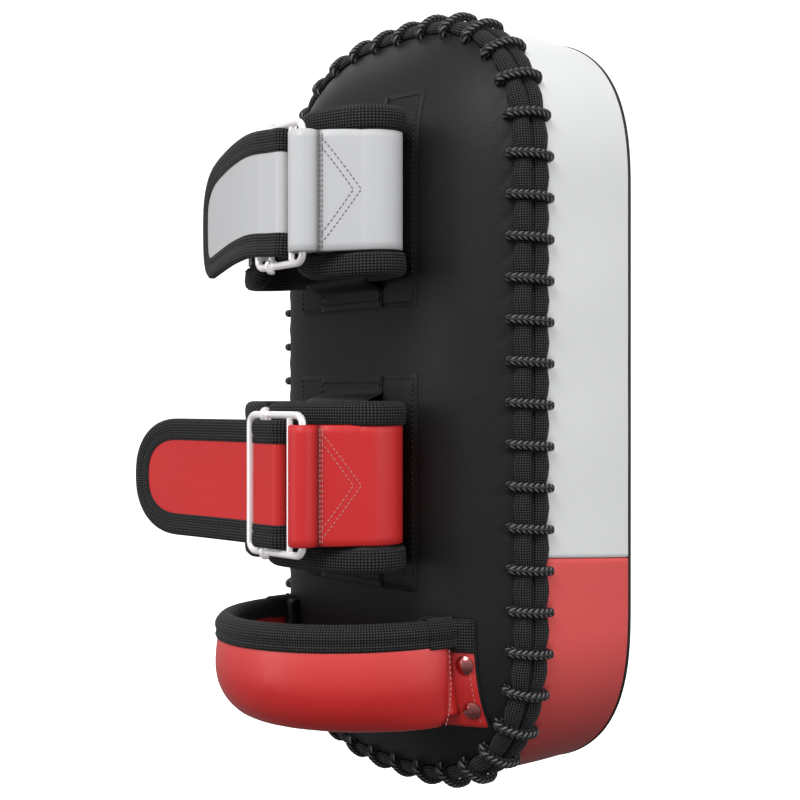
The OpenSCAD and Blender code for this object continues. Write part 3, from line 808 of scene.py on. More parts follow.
def make_lacing():
    """One braided cord, whipped over both tapes and through a hole in each panel at every loop."""
    per_loop = 104
    shown = 0.7  # share of a loop's points that lie on its outside, which is the part that shows
    count = LOOPS * per_loop
    turn = (np.arange(count) % per_loop) / per_loop
    loop = np.arange(count) // per_loop
    visible = turn < shown
    hidden_turn = (turn - shown) / (1 - shown)
    advance = np.where(visible, 0.10 * turn / shown - 0.05, 0.05 + hidden_turn * 0.90)
    s = (loop + advance + LOOP_SHIFT) % LOOPS / LOOPS
    dense = 4000
    p, t, n = rim_frame(dense)
    pick = s * dense

    def at(v):
        i = np.floor(pick).astype(int) % dense
        f = (pick - np.floor(pick))[:, None]
        return v[i] * (1 - f) + v[(i + 1) % dense] * f

    base, normal, side = at(p), unit(at(n)), unit(at(t))
    # The loop in section: (inset from the edge, height over the seam). All but the last two corners
    # lie outside.
    corners = np.array([
        (7.4, 5.4), (6.9, 8.3), (5.8, 9.7), (3.7, 9.9), (1.2, 7.8), (-1.5, 4.8), (-3.4, 1.9), (-4.3, -1.2),
        (-4.3, -5.0), (-3.9, -7.6), (-2.2, -9.4), (0.9, -9.8), (4.4, -7.6), (7.2, -1.5)
    ]) * MM
    ring = smooth_path(corners, 3, closed=True)
    ring = np.roll(ring, -np.argmin(np.linalg.norm(ring - corners[0], axis=1)), 0)
    curve = resample(np.vstack([ring, ring[:1]]), per_loop + 1)
    half = np.argmin(np.linalg.norm(curve - corners[11], axis=1))
    where = np.where(visible, turn / shown * half, half + hidden_turn * (per_loop - half))
    inset, up = values_at(where, np.arange(per_loop + 1), curve).T
    path = np.stack([base[:, 0] - normal[:, 0] * inset, SEAM_Y + up, base[:, 1] - normal[:, 2] * inset], 1)
    # The braid's relief: four rows of strands, each row slanted the other way from its neighbours.
    sides = 24
    a = circle(sides) + CORD_SEAM
    run = lengths(path)[:, None]
    fold = np.arccos(np.clip(np.cos(2 * a), -1, 1))
    wave = np.cos(CORD_SLANT * fold + run * 2 * np.pi / CORD_PITCH)
    r = CORD_R * (0.91 + 0.10 * (0.5 + 0.5 * wave) * np.abs(np.sin(2 * a)) ** 0.5)
    points = sweep(path, side, np.stack([r * np.cos(a), r * np.sin(a)], -1), closed=True)
    uv = np.stack(np.broadcast_arrays(run, a * CORD_R), -1)
    faces = grid_faces(count, sides, (True, True))
    obj = mesh_object("lacing_braid", points.reshape(-1, 3), faces, uv.reshape(-1, 2))
    return place(obj, "pad", "cord", CORD, "lacing_cord")


# ---------------------------------------------------------------- cuffs

cuff_low, cuff_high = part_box("middle_cuff_cover")
NEAR_A = -cuff_low.x
FAR_A = cuff_high.x - 10 * MM
CUFF_TOP = cuff_high.y
CUFF_BASE = -cuff_low.y
FAR_TOP = 20 * MM
CUFF_T = 7 * MM
SHOULDER_POWER = 2.4
FAR_BASE_POWER = 4
CUFF_START = {"upper": 109, "middle": 89}
CUFF_END = 430
UPPER_SAG = 0.055


def loop_xy(angle, off):
    """A point of the cuff's outer face at an angle in degrees, grown by off."""
    a = np.radians(np.asarray(angle, float))
    near = (np.asarray(angle) > 80) & (np.asarray(angle) < 270)
    s, c = np.sin(a), np.cos(a)
    rx = np.where(near, NEAR_A, FAR_A) + off
    ry = np.where(s < 0, CUFF_BASE, np.where(near, CUFF_TOP, FAR_TOP)) + off
    power = np.where(near, SHOULDER_POWER, np.where(s < 0, FAR_BASE_POWER, 2.0))
    x = np.sign(c) * rx * np.abs(c) ** (2 / power)
    y = np.sign(s) * ry * np.abs(s) ** (2 / power)
    return np.stack([x, y], -1)


def loop_frame(which, count):
    """Even points along the cuff's middle line with their outward normals, in (x, y)."""
    line = resample(loop_xy(np.linspace(CUFF_START[which], CUFF_END, 400), -CUFF_T / 2), count)
    t = tangents(line)
    return line, np.stack([t[:, 1], -t[:, 0]], 1)


def corner_height(d, half, corner):
    """Half height of a rounded rectangle at distance d from its end."""
    e = np.clip(corner - d, 0, corner)
    return half - corner + np.sqrt(np.maximum(corner ** 2 - e ** 2, 0))


def strap_middle(which):
    return middle_z(which + "_outer_strap")


def sag(which, y):
    """How far the upper cuff hangs down towards its buckle, at a height y over the forearm's axis."""
    return -UPPER_SAG * (y + CUFF_BASE) if which == "upper" else np.zeros_like(y)


def make_cuff(which):
    """A cuff's pad: a soft band round the forearm, open at its ends, with the strap's channel in it."""
    z0 = middle_z(which + "_cuff_cover")
    low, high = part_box(which + "_cuff_binding")
    half, corner = (high.z - low.z) / 2, 13 * MM
    line, out = loop_frame(which, 150)
    s = np.linspace(0, lengths(line)[-1], len(line))
    h = corner_height(np.minimum(s, s[-1] - s), half - 2 * MM, corner)
    m = np.linspace(-1, 1, 61)
    swell = 1 - np.abs(m) ** 6 * 0.5
    seam = 0.25 * MM * np.sin(s / (9 * MM))[:, None]
    faces = []
    for sign, across in ((1, m), (-1, m[::-1])):
        z = z0 + h[:, None] * across
        lift = sign * (CUFF_T / 2 * swell + seam * (1 - across ** 2))
        if sign > 0:
            # The strap presses a channel into the pad's outer face.
            press = np.clip((STRAP_HALF + 1.2 * MM - np.abs(z - strap_middle(which))) / (1.6 * MM), 0, 1)
            lift = lift - PRESSED * smooth_step(press)
        x, y = line[:, :1] + out[:, :1] * lift, line[:, 1:] + out[:, 1:] * lift
        faces.append(np.stack([x, y, z + sag(which, y)], -1))
    pad = tube_object(which + "_cuff_pad", np.concatenate(faces, 1))
    nodes = [which + part for part in ("_cuff_cover", "_cuff_lining", "_cuff_foam")]
    place(pad, "pad", "black_leather", BLACK, *nodes)
    make_cuff_binding(which, z0, line, out, s, half, corner)


# The cuff binding's section: (outwards over the rim, out from the middle of the pad's thickness).
BINDING_ROLL = np.array([
    (-6.1, 3.2), (-5.9, 4.0), (-5.2, 4.5), (-2.5, 4.9), (0.8, 5.1), (3.4, 4.6), (5.0, 3.0), (5.5, 0.9),
    (5.5, -0.9), (5.0, -3.0), (3.4, -4.6), (0.8, -5.1), (-2.5, -4.9), (-5.2, -4.5), (-5.9, -4.0), (-6.1, -3.2)
]) * MM


def make_cuff_binding(which, z0, line, out, s, half, corner):
    """A ribbed binding rolled over the cuff's whole rim, round its rounded corners."""
    # Its path on the unrolled cuff: (distance along the cuff, height).
    inner = half - 5.5 * MM
    bend = corner - 3 * MM
    a = np.linspace(0, np.pi / 2, 9)[1:-1]
    d0, d1 = 4 * MM, s[-1] - 4 * MM
    run = [(x, inner) for x in np.linspace(d0 + bend, d1 - bend, 90)]
    run += [(d1 - bend + bend * math.sin(k), inner - bend + bend * math.cos(k)) for k in a]
    run += [(d1, z) for z in np.linspace(inner - bend, bend - inner, 20)]
    run += [(d1 - bend + bend * math.cos(k), bend - inner - bend * math.sin(k)) for k in a]
    run += [(x, -inner) for x in np.linspace(d1 - bend, d0 + bend, 90)]
    run += [(d0 + bend - bend * math.sin(k), bend - inner - bend * math.cos(k)) for k in a]
    run += [(d0, z) for z in np.linspace(bend - inner, inner - bend, 20)]
    run += [(d0 + bend - bend * math.cos(k), inner - bend + bend * math.sin(k)) for k in a]
    run = resample(np.array(run), 620, closed=True)
    xy, normal = values_at(run[:, 0], s, line), values_at(run[:, 0], s, out)
    normal = unit(np.column_stack([normal, np.zeros(len(run))]))
    path = np.column_stack([xy, z0 + run[:, 1]])
    outward = unit(np.cross(normal, tangents(path, closed=True)))
    if outward[45, 2] < 0:
        outward = -outward
    wobble = 1 + 0.03 * np.sin(np.arange(len(run)) * 0.35)[:, None, None]
    across, up = BINDING_ROLL[:, :1], BINDING_ROLL[:, 1:] * wobble
    points = path[:, None] + outward[:, None] * across + normal[:, None] * up
    points[..., 2] += sag(which, points[..., 1])
    obj = grid_object(which + "_cuff_edge_binding", points, closed=(True, True))
    place(obj, "pad", "webbing", BINDING, which + "_cuff_binding")
    line_up = path - outward * 4.6 * MM + normal * 4.75 * MM
    line_up[:, 2] += sag(which, line_up[:, 1])
    seam = stitches(which + "_cuff_binding_stitching", line_up, normal, 3.0 * MM)
    place(seam, "pad", "webbing", BLACK_THREAD)


# ---------------------------------------------------------------- patches and keepers

def make_patch(which):
    """A leather patch that follows the crowned back, with a raised edge and a sewn outline."""
    low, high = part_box(which + "_patch")
    gx, gz = np.meshgrid(np.linspace(low.x, high.x, 46), np.linspace(low.z, high.z, 50), indexing="ij")
    edge = np.minimum.reduce([gx - low.x, high.x - gx, gz - low.z, high.z - gz])
    lift = 0.25 * MM + 1.15 * MM * edge_round(edge, 1.2 * MM)
    lift -= 0.35 * MM * np.exp(-((edge - 2.6 * MM) / (1.2 * MM)) ** 2)
    obj = grid_object(which + "_patch_leather", back_surface(gx, gz, lift))
    place(obj, "pad", "black_leather", BLACK, which + "_patch")
    c = 2.4 * MM
    left, right, bottom, top = low.x + c, high.x - c, low.z + c, high.z - c
    ring = np.array([(left, bottom), (right, bottom), (right, top), (left, top)])
    ring = resample(ring, 600, closed=True)
    line = back_surface(ring[:, 0], ring[:, 1], 1.25 * MM)
    name = which + "_patch_stitching"
    seam = stitches(name, line, (0, 1, 0), 2.6 * MM, radius=0.4 * MM, closed=True, fill=0.85)
    place(seam, "pad", "black_leather", BLACK_THREAD)


def make_keeper(which):
    """A leather bridge sewn to the patch above and below the cuff, lying over the cuff's base."""
    low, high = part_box(which + "_keeper")
    zc, half = middle_z(which + "_keeper"), (high.z - low.z) / 2
    over = -CUFF_BASE + CUFF_T + 2.7 * MM
    z = np.linspace(-half, half, 90)
    bridge = smooth_step(np.clip((half - 8 * MM - np.abs(z)) / (5 * MM), 0, 1))
    gx, gz = np.meshgrid(np.linspace(low.x, high.x, 16), z, indexing="ij")
    flat = back_surface(gx, zc + gz, 2.6 * MM)[..., 1]
    y = flat * (1 - bridge) + over * bridge
    drop = 0.6 * MM * (1 - edge_round(np.minimum(gx - low.x, high.x - gx), 1.0 * MM))
    top = np.stack([gx, y - drop, zc + gz], -1)
    under = np.stack([gx, y - 1.5 * MM, zc + gz], -1)
    obj = grid_object(which + "_keeper_leather", np.concatenate([top, under[::-1]], 0), closed=(True, False))
    place(obj, "pad", "black_leather", BLACK, which + "_keeper")
    left, right = low.x + 1.5 * MM, high.x - 1.5 * MM
    seams = []
    for end in (-1, 1):
        across, back = zc + end * (half - 3 * MM), zc + end * (half - 9 * MM)
        for start, stop, count in (
            ((left, across), (right, across), 60),
            ((left, across), (left, back), 20),
            ((right, across), (right, back), 20),
        ):
            x, z = np.linspace(start, stop, count).T
            line = back_surface(x, z, 2.8 * MM)
            seams.append(stitches("seam", line, (0, 1, 0), 2.6 * MM, radius=0.38 * MM))
    place(join(which + "_keeper_stitching", seams), "pad", "black_leather", BLACK_THREAD)


# ---------------------------------------------------------------- straps

STRAP_T = 2 * MM
STRAP_HALF = 28.4 * MM
LIE = -1.1 * MM
PRESSED = 2.3 * MM
ROLL_R = 6.8 * MM


def hinge_point(which):
    return np.array(JOINTS[which + "_buckle_swivel"]["pos_m"][:2])


def ribbon_points(path, half, thickness, z0, edge=0.6 * MM):
    """A closed leather ribbon along a path in (x, y): rounded edges, thickness and width in z."""
    normal = left_normals(path)
    up = np.linspace(-half + edge, half - edge, 17)
    z = np.concatenate([up, [half], up[::-1], [-half]])
    lift = np.concatenate([np.full(17, thickness / 2), [0], np.full(17, -thickness / 2), [0]])
    lift, z = [np.broadcast_to(v, (len(path), len(v))) for v in (lift, z)]
    return np.stack([path[:, :1] + normal[:, :1] * lift, path[:, 1:] + normal[:, 1:] * lift, z0 + z], -1)


def outer_path(which):
    """The buckle-side strap: round the hinge bar, down to its seam, over the cuff's shoulder to its base."""
    h = hinge_point(which)
    a = np.radians(np.linspace(-100, 205, 44))
    roll = h + (ROLL_R - STRAP_T / 2) * np.stack([np.cos(a), np.sin(a)], 1)
    tail = h + np.array([(-7.4, -12.2), (-4.1, -7.2)]) * MM
    crease = h + np.array([-3.9, -6.5]) * MM
    shoulder = h + np.array([-8.2, -9.4]) * MM
    wrap = loop_xy(np.linspace(156, 248, 40), LIE)
    path = np.vstack([tail, roll, crease, shoulder, wrap])
    return resample(smooth_path(path, 2), 190), crease


def make_outer_strap(which, material, slot):
    """The strap from the roll round the hinge bar to the cuff's base, with its double arrowhead seam."""
    z0 = strap_middle(which)
    path, crease = outer_path(which)
    points = ribbon_points(path, STRAP_HALF, STRAP_T, z0)
    points[..., 2] += strap_sag(which, points[..., 1])
    obj = tube_object(which + "_outer_strap_leather", points)
    place(obj, "pad", slot, material, which + "_outer_strap")
    # The seam lies on the strap's outer face, beyond the roll.
    half_way = len(path) // 3
    start = int(np.argmin(np.linalg.norm(path[half_way:] - crease, axis=1))) + half_way
    face, outward = path[start:], -left_normals(path)[start:]
    arc = lengths(face)
    seams = []

    def sew(s, z, pitch, radius):
        """Stitches along points given by their distance s from the crease and height z."""
        s, z = np.broadcast_arrays(s, z)
        xy, n = values_at(s, arc, face), unit(values_at(s, arc, outward))
        xy, n = [np.column_stack([v, np.zeros(len(s))]) for v in (xy, n)]
        line = xy + n * (STRAP_T / 2 + 0.12 * MM)
        line[:, 2] = z0 + z + strap_sag(which, xy[:, 1])
        seams.append(stitches("seam", line, n, pitch, radius=radius))

    for reach, spread in ((20.0 * MM, 25.0 * MM), (16.2 * MM, 20.5 * MM)):
        for side in (-1, 1):
            sew(np.linspace(1.5 * MM, reach, 50), np.linspace(side * spread, 0, 50), 2.2 * MM, 0.24 * MM)
    for s in (0.4 * MM, 2.0 * MM):
        sew(s, np.linspace(-STRAP_HALF + 1.5 * MM, STRAP_HALF - 1.5 * MM, 80), 2.3 * MM, 0.22 * MM)
    thread = PALE_THREAD if which == "middle" else GREY_THREAD
    place(join(which + "_arrowhead_stitching", seams), "pad", slot, thread)


def strap_sag(which, y):
    """The same slant as the cuff's, measured from the buckle's hinge."""
    return UPPER_SAG * (hinge_point(which)[1] - y) if which == "upper" else np.zeros_like(y)


def make_threading_strap(which, material, slot):
    """The far strap, which runs up to the buckle, with the pile that the tongue sticks to."""
    low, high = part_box(which + "_threading_strap")
    z0 = middle_z(which + "_threading_strap")
    end = np.array([low.x + 0.4 * MM, high.y - 1.3 * MM])
    wrap = loop_xy(np.linspace(415, 292, 50), LIE)
    path = resample(smooth_path(np.vstack([end, (end + wrap[0]) / 2 + [0, 0.4 * MM], wrap]), 2), 110)
    points = ribbon_points(path, STRAP_HALF, STRAP_T, z0)
    points[..., 2] += strap_sag(which, points[..., 1])
    obj = tube_object(which + "_threading_strap_leather", points)
    place(obj, "pad", slot, material, which + "_threading_strap")
    low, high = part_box(which + "_loop_patch")
    line = resample(loop_xy(np.linspace(405, 345, 60), LIE + STRAP_T / 2 + 0.6 * MM), 60)
    points = ribbon_points(line, (high.z - low.z) / 2, 1.2 * MM, z0, edge=0.3 * MM)
    patch = tube_object(which + "_loop_pile", points)
    place(patch, "pad", "fastener_tape", PILE, which + "_loop_patch")


# ---------------------------------------------------------------- buckles, folds and tongues

BUCKLES = {
    "upper": {
        "tilt": -2.0, "over": True, "angle": -18.0, "length": 97 * MM, "arch": 0.0,
        "tips": (46, 20), "power": 2.9, "ease": 1800
    },
    "middle": {
        "tilt": 4.7, "over": False, "angle": 9.0, "length": 93 * MM, "arch": -1.5 * MM,
        "tips": (33, 33), "power": 2.35, "ease": 30
    },
}
TONGUE_HELD = 62
FOLD_X, FOLD_R, JOINT_X, TAIL_X = 17.6, 3.4, 45.0, 25.0
TONGUE_HALF = 30.4 * MM
LEATHER_HALF = 19.2 * MM
# The strap end binding's section: outwards over the edge, as a share of the binding's half width, and
# out from the middle of the leather, in mm.
TONGUE_ROLL = np.array([
    (-1.0, 1.35), (-0.92, 1.75), (-0.45, 1.75), (-0.3, 1.45), (-0.1, 1.9), (0.35, 2.15), (0.75, 1.9),
    (1.0, 0.9), (1.0, -0.9), (0.75, -1.8), (0.2, -1.9), (-0.5, -1.7), (-1.0, -1.35)
])
MIDDLE_BAR_X = 28.1 * MM
CURL_R = 2.7 * MM
CURL_WIRE_R = 1.1 * MM


def to_row(which, local):
    """Points given from the hinge bar, along the buckle, in the row frame."""
    a = math.radians(BUCKLES[which]["tilt"])
    turn = np.array([[math.cos(a), -math.sin(a)], [math.sin(a), math.cos(a)]])
    return hinge_point(which) + np.asarray(local) @ turn.T


def tongue_path(which):
    """The strap from its tail under the middle bar, round it, past the far bar, to the tongue's tip."""
    b = BUCKLES[which]
    end_y = FOLD_R + 0.1 if b["over"] else -(FOLD_R + 0.5)
    a = np.radians(np.linspace(-90, -270, 16))
    fold = np.stack([FOLD_X + FOLD_R * np.cos(a), FOLD_R * np.sin(a)], 1)
    f = np.linspace(0, 1, 12)
    ease = np.stack([31 + 7.6 * f, FOLD_R + (end_y - FOLD_R) * (1 - np.cos(np.pi * f)) / 2], 1)
    local = np.vstack([[(TAIL_X, -FOLD_R)], fold, ease, [(JOINT_X, end_y)]]) * MM
    start = to_row(which, np.array([[JOINT_X + 1.2, end_y]]) * MM)[0]
    a = math.radians(b["angle"])
    s = np.linspace(0, 1, 30)[1:, None]
    way, side = np.array([math.cos(a), math.sin(a)]), np.array([-math.sin(a), math.cos(a)])
    tongue = start + way * s * b["length"] + side * 4 * b["arch"] * s * (1 - s)
    whole = resample(smooth_path(np.vstack([to_row(which, local), start[None], tongue]), 2), 260)
    # The leather bends gently at the joint, beyond the buckle's fold.
    for _ in range(b["ease"]):
        beside = (whole[TONGUE_HELD - 1:-2] + whole[TONGUE_HELD + 1:]) / 2
        whole[TONGUE_HELD:-1] += 0.5 * (beside - whole[TONGUE_HELD:-1])
    return whole


def tongue_tips(which):
    """How far from the tip its top and its lower edge start to round off, and how squarely they do."""
    return np.array(BUCKLES[which]["tips"]) * MM, BUCKLES[which]["power"]


def tip_shape(d, tip, power):
    """How wide the rounded tip is at a distance d from its end: 0 to 1."""
    return (1 - ((tip - d) / tip).clip(0, 1) ** power) ** (1 / power)


# Marks 1 mm apart along the strap end, and how high it stands at each.
TONGUE_MARKS = np.arange(0, 150) * MM
TONGUE_KNOTS = np.array([(0, 0.6), (20, 1.4), (45, 3.6), (80, 2.6), (115, 0.3), (140, -1.5)]) * MM
TONGUE_RISES = np.interp(TONGUE_MARKS, TONGUE_KNOTS[:, 0], TONGUE_KNOTS[:, 1])
TONGUE_RISES[9:-9] = np.convolve(TONGUE_RISES, np.ones(19) / 19, "valid")


def tongue_rise(which, run):
    """How far the upper strap end climbs between its fold and its joint, and falls again to its tip."""
    if which == "middle":
        return np.zeros_like(run)
    return np.interp(run, TONGUE_MARKS, TONGUE_RISES)


def make_tongue_leather(which, path, steps, z0):
    """The strap end's leather, which runs a little way in under its binding."""
    tips, power = tongue_tips(which)
    d_in = steps[-1] - (TONGUE_HALF - LEATHER_HALF) * 0.9 - steps
    body = path[d_in > 0.2 * MM]
    half = LEATHER_HALF + 1.5 * MM
    tops, lows = [half * tip_shape(d_in[:len(body)], tip - 6 * MM, power) for tip in tips]
    z = np.linspace(-1, 1, 25)
    across = np.where(z > 0, z * tops[:, None], z * lows[:, None])
    across = across + tongue_rise(which, steps[:len(body)])[:, None]
    faces = []
    for lift in (1.15 * MM, -1.15 * MM):
        x, y = (body + left_normals(body) * lift).T
        face = np.stack(np.broadcast_arrays(x[:, None], y[:, None], z0 + across), -1)
        faces.append(face if lift > 0 else face[:, ::-1])
    return tube_object(which + "_strap_end_leather", np.concatenate(faces, 1))


def make_tongue_edge(which, path, steps, z0):
    """The strap end's binding and its stitching, out along the top edge, round the tip and back below."""
    tips, power = tongue_tips(which)
    w = (TONGUE_HALF - LEATHER_HALF) / 2
    d = steps[-1] - w - steps
    keep = d > 0
    top, low = [
        np.stack([steps[keep], (TONGUE_HALF - w) * tip_shape(d[keep], tip - 3 * MM, power)], 1)
        for tip in tips
    ]
    run = np.vstack([top, [[steps[-1] - w, 0]], (low * [1, -1])[::-1]])
    run = resample(smooth_path(run, 1), 520)
    edge = np.column_stack([
        values_at(run[:, 0], steps, path), z0 + run[:, 1] + tongue_rise(which, run[:, 0])
    ])
    normal = unit(np.column_stack([values_at(run[:, 0], steps, left_normals(path)), np.zeros(len(edge))]))
    outward = unit(np.cross(normal, tangents(edge)))
    if outward[5, 2] < 0:
        outward = -outward
    roll = TONGUE_ROLL * [w, MM]
    points = edge[:, None] + outward[:, None] * roll[:, :1] + normal[:, None] * roll[:, 1:]
    binding = tube_object(which + "_strap_end_binding", points)
    line = edge - outward * w * 0.62 + normal * 1.82 * MM
    return binding, stitches(which + "_strap_end_stitching", line, normal, 2.8 * MM, radius=0.24 * MM)


def make_tongue(which, material, slot):
    """The strap's free end: leather, binding and stitching, which bend where they leave the buckle."""
    z0 = JOINTS[which + "_tongue_peel"]["pos_m"][2]
    path = tongue_path(which)
    steps = lengths(path)
    leather = make_tongue_leather(which, path, steps, z0)
    edge, seam = make_tongue_edge(which, path, steps, z0)
    for obj, obj_material, obj_slot, nodes in (
        (leather, material, slot, (which + "_strap_fold", which + "_tongue_strap")),
        (edge, BINDING, "webbing", (which + "_fold_binding", which + "_tongue_binding")),
        (seam, BLACK_THREAD, "webbing", ()),
    ):
        obj.data.materials.append(obj_material)
        if nodes:
            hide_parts(*nodes)
        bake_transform(obj)
    make_hook_patch(which, path, steps, z0)


def make_hook_patch(which, path, steps, z0):
    """The hook pile under the tongue."""
    low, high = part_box(which + "_tongue_hook_patch")
    joint = np.array(JOINTS[which + "_tongue_peel"]["pos_m"][:2])
    at = steps[np.argmin(np.linalg.norm(path - joint, axis=1))]
    s = np.linspace(at + 12 * MM, at + 62 * MM, 60)
    line = values_at(s, steps, path)
    line = line - left_normals(line) * 1.7 * MM
    points = ribbon_points(line, (high.z - low.z) / 2 - 2 * MM, 1.1 * MM, z0, edge=0.3 * MM)
    points[..., 2] += tongue_rise(which, s)[:, None]
    obj = tube_object(which + "_hook_pile", points)
    place(obj, which + "_tongue", "fastener_tape", PILE, which + "_tongue_hook_patch")


def make_buckle(which):
    """The CAD frame and bars keep their place. The middle bar's curled ends are added."""
    low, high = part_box(which + "_buckle_frame")
    z0 = middle_z(which + "_buckle_frame")
    rail = (high.z - low.z) / 2 - 1.75 * MM
    a = np.linspace(-0.15 * np.pi, 1.55 * np.pi, 26)
    xy = to_row(which, np.stack([np.full(len(a), MIDDLE_BAR_X), CURL_R * np.sin(a)], 1))
    ring = np.stack([np.cos(circle(16)), np.sin(circle(16))], -1) * CURL_WIRE_R
    ups = np.broadcast_to((1, 0.05, 0), (len(a), 3))
    curls = []
    for side in (-1, 1):
        path = np.column_stack([xy, z0 + side * (rail + CURL_R * np.cos(a))])
        curls.append(tube_object("curl", sweep(path, ups, ring)))
    place(join(which + "_bar_curls", curls), which + "_buckle", "chrome", CHROME)
    for node in ("_buckle_frame", "_buckle_bars"):
        dress(which + node, CHROME)


# ---------------------------------------------------------------- guard band

guard_low, guard_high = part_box("guard_shell")
GUARD_R = guard_high.x
GUARD_Y = guard_low.y
GUARD_TOP = guard_high.z
GUARD_BOTTOM = guard_low.z
GUARD_TURN = 22 * MM
GUARD_T = 8 * MM
TURN_Z = -135 * MM
GUARD_LEAN = 2 * MM


def rim_z(x):
    """The rim's height. It lies a little lower on the far side."""
    return GUARD_TOP - 5.0 * MM - 2.6 * MM * (1 + x / GUARD_R)


def guard_section(depth, turn_in, top, count=28):
    """One face of the band in section, (radius, z), depth inside its outer face."""
    inner = GUARD_R - turn_in
    drop = TURN_Z - GUARD_BOTTOM
    a = np.linspace(0, np.pi / 2, count)
    arc = np.stack([inner + (turn_in - depth) * np.cos(a), TURN_Z - (drop - depth) * np.sin(a)], 1)
    return np.vstack([[(GUARD_R - GUARD_LEAN - depth, top)], arc])


def revolve(section, angles):
    """Carries a (radius, z) section, or one section per angle, round the guard's axis."""
    section = np.broadcast_to(section, (len(angles),) + section.shape[-2:])
    x = np.cos(angles)[:, None] * section[..., 0]
    y = GUARD_Y + np.sin(angles)[:, None] * section[..., 0]
    return np.stack([x, y, section[..., 1]], -1)


def revolve_rim(section, angles):
    """The same for a section measured from the rim's own height."""
    points = revolve(section, angles)
    points[..., 2] += rim_z(points[..., 0])
    return points


def guard_ring(angle):
    """The band's whole section, which turns in less at its flat ends."""
    ease = smooth_step(min(1.0, math.sin(angle) / math.sin(math.radians(38))))
    turn_in = GUARD_T + 1.5 * MM + (GUARD_TURN - GUARD_T - 1.5 * MM) * ease
    top = rim_z(GUARD_R * math.cos(angle))
    outer, inner = [resample(smooth_path(guard_section(d, turn_in, top), 1), 46) for d in (0, GUARD_T)]
    return np.vstack([outer, inner[::-1]])


def make_guard():
    """The padded band, from one flat end to the other, with a pale seam across each end."""
    angles = np.linspace(0, np.pi, 150)
    rings = np.array([guard_ring(a) for a in angles])
    shell = tube_object("guard_cover", revolve(rings, angles))
    simulate_padding(shell, pressure=3.0, cap=1.8 * MM)
    place(shell, "pad", "red_leather", GUARD_RED, "guard_shell", "guard_lining", "guard_foam")
    seams = []
    for angle in np.radians([1.8, 178.2]):
        outer = resample(guard_ring(angle)[2:40], 90) + [0.6 * MM, 0]
        line = revolve(outer, np.array([angle]))[0]
        up = (math.cos(angle), math.sin(angle), 0)
        seams.append(stitches("seam", line[8:], up, 2.5 * MM, radius=0.26 * MM))
    place(join("guard_end_stitching", seams), "pad", "red_leather", PALE_THREAD)


def apply_modifier(obj, kind, **settings):
    modifier = obj.modifiers.new(kind.lower(), kind)
    for key, value in settings.items():
        setattr(modifier, key, value)
    bpy.ops.object.modifier_apply(modifier=modifier.name)


def simulate_padding(obj, pressure, cap, voxel=4.5 * MM):
    """Blows the piece up a little as cloth and keeps each point within cap of where it started."""
    bpy.ops.object.select_all(action="DESELECT")
    obj.select_set(True)
    bpy.context.view_layer.objects.active = obj
    apply_modifier(obj, "REMESH", mode="VOXEL", voxel_size=voxel)
    rest = np.array([v.co for v in obj.data.vertices])
    cloth = obj.modifiers.new("cloth", "CLOTH")
    cloth.settings.use_pressure = True
    cloth.settings.uniform_pressure_force = pressure
    cloth.settings.effector_weights.gravity = 0
    cloth.settings.tension_stiffness = 30
    cloth.settings.compression_stiffness = 30
    cloth.settings.shear_stiffness = 15
    cloth.settings.bending_stiffness = 4
    scene = bpy.context.scene
    for step in range(1, 21):
        scene.frame_set(step)
    posed = obj.evaluated_get(bpy.context.evaluated_depsgraph_get())
    shift = np.array([v.co for v in posed.data.vertices]) - rest
    obj.modifiers.remove(cloth)
    shift = shift * np.minimum(1, cap / np.maximum(np.linalg.norm(shift, axis=1, keepdims=True), 1e-9))
    obj.data.vertices.foreach_set("co", (rest + shift).ravel())
    apply_modifier(obj, "SMOOTH", factor=0.5, iterations=4)
    apply_modifier(obj, "SUBSURF", levels=1, render_levels=1)
    obj.data.polygons.foreach_set("use_smooth", [True] * len(obj.data.polygons))
    scene.frame_set(1)


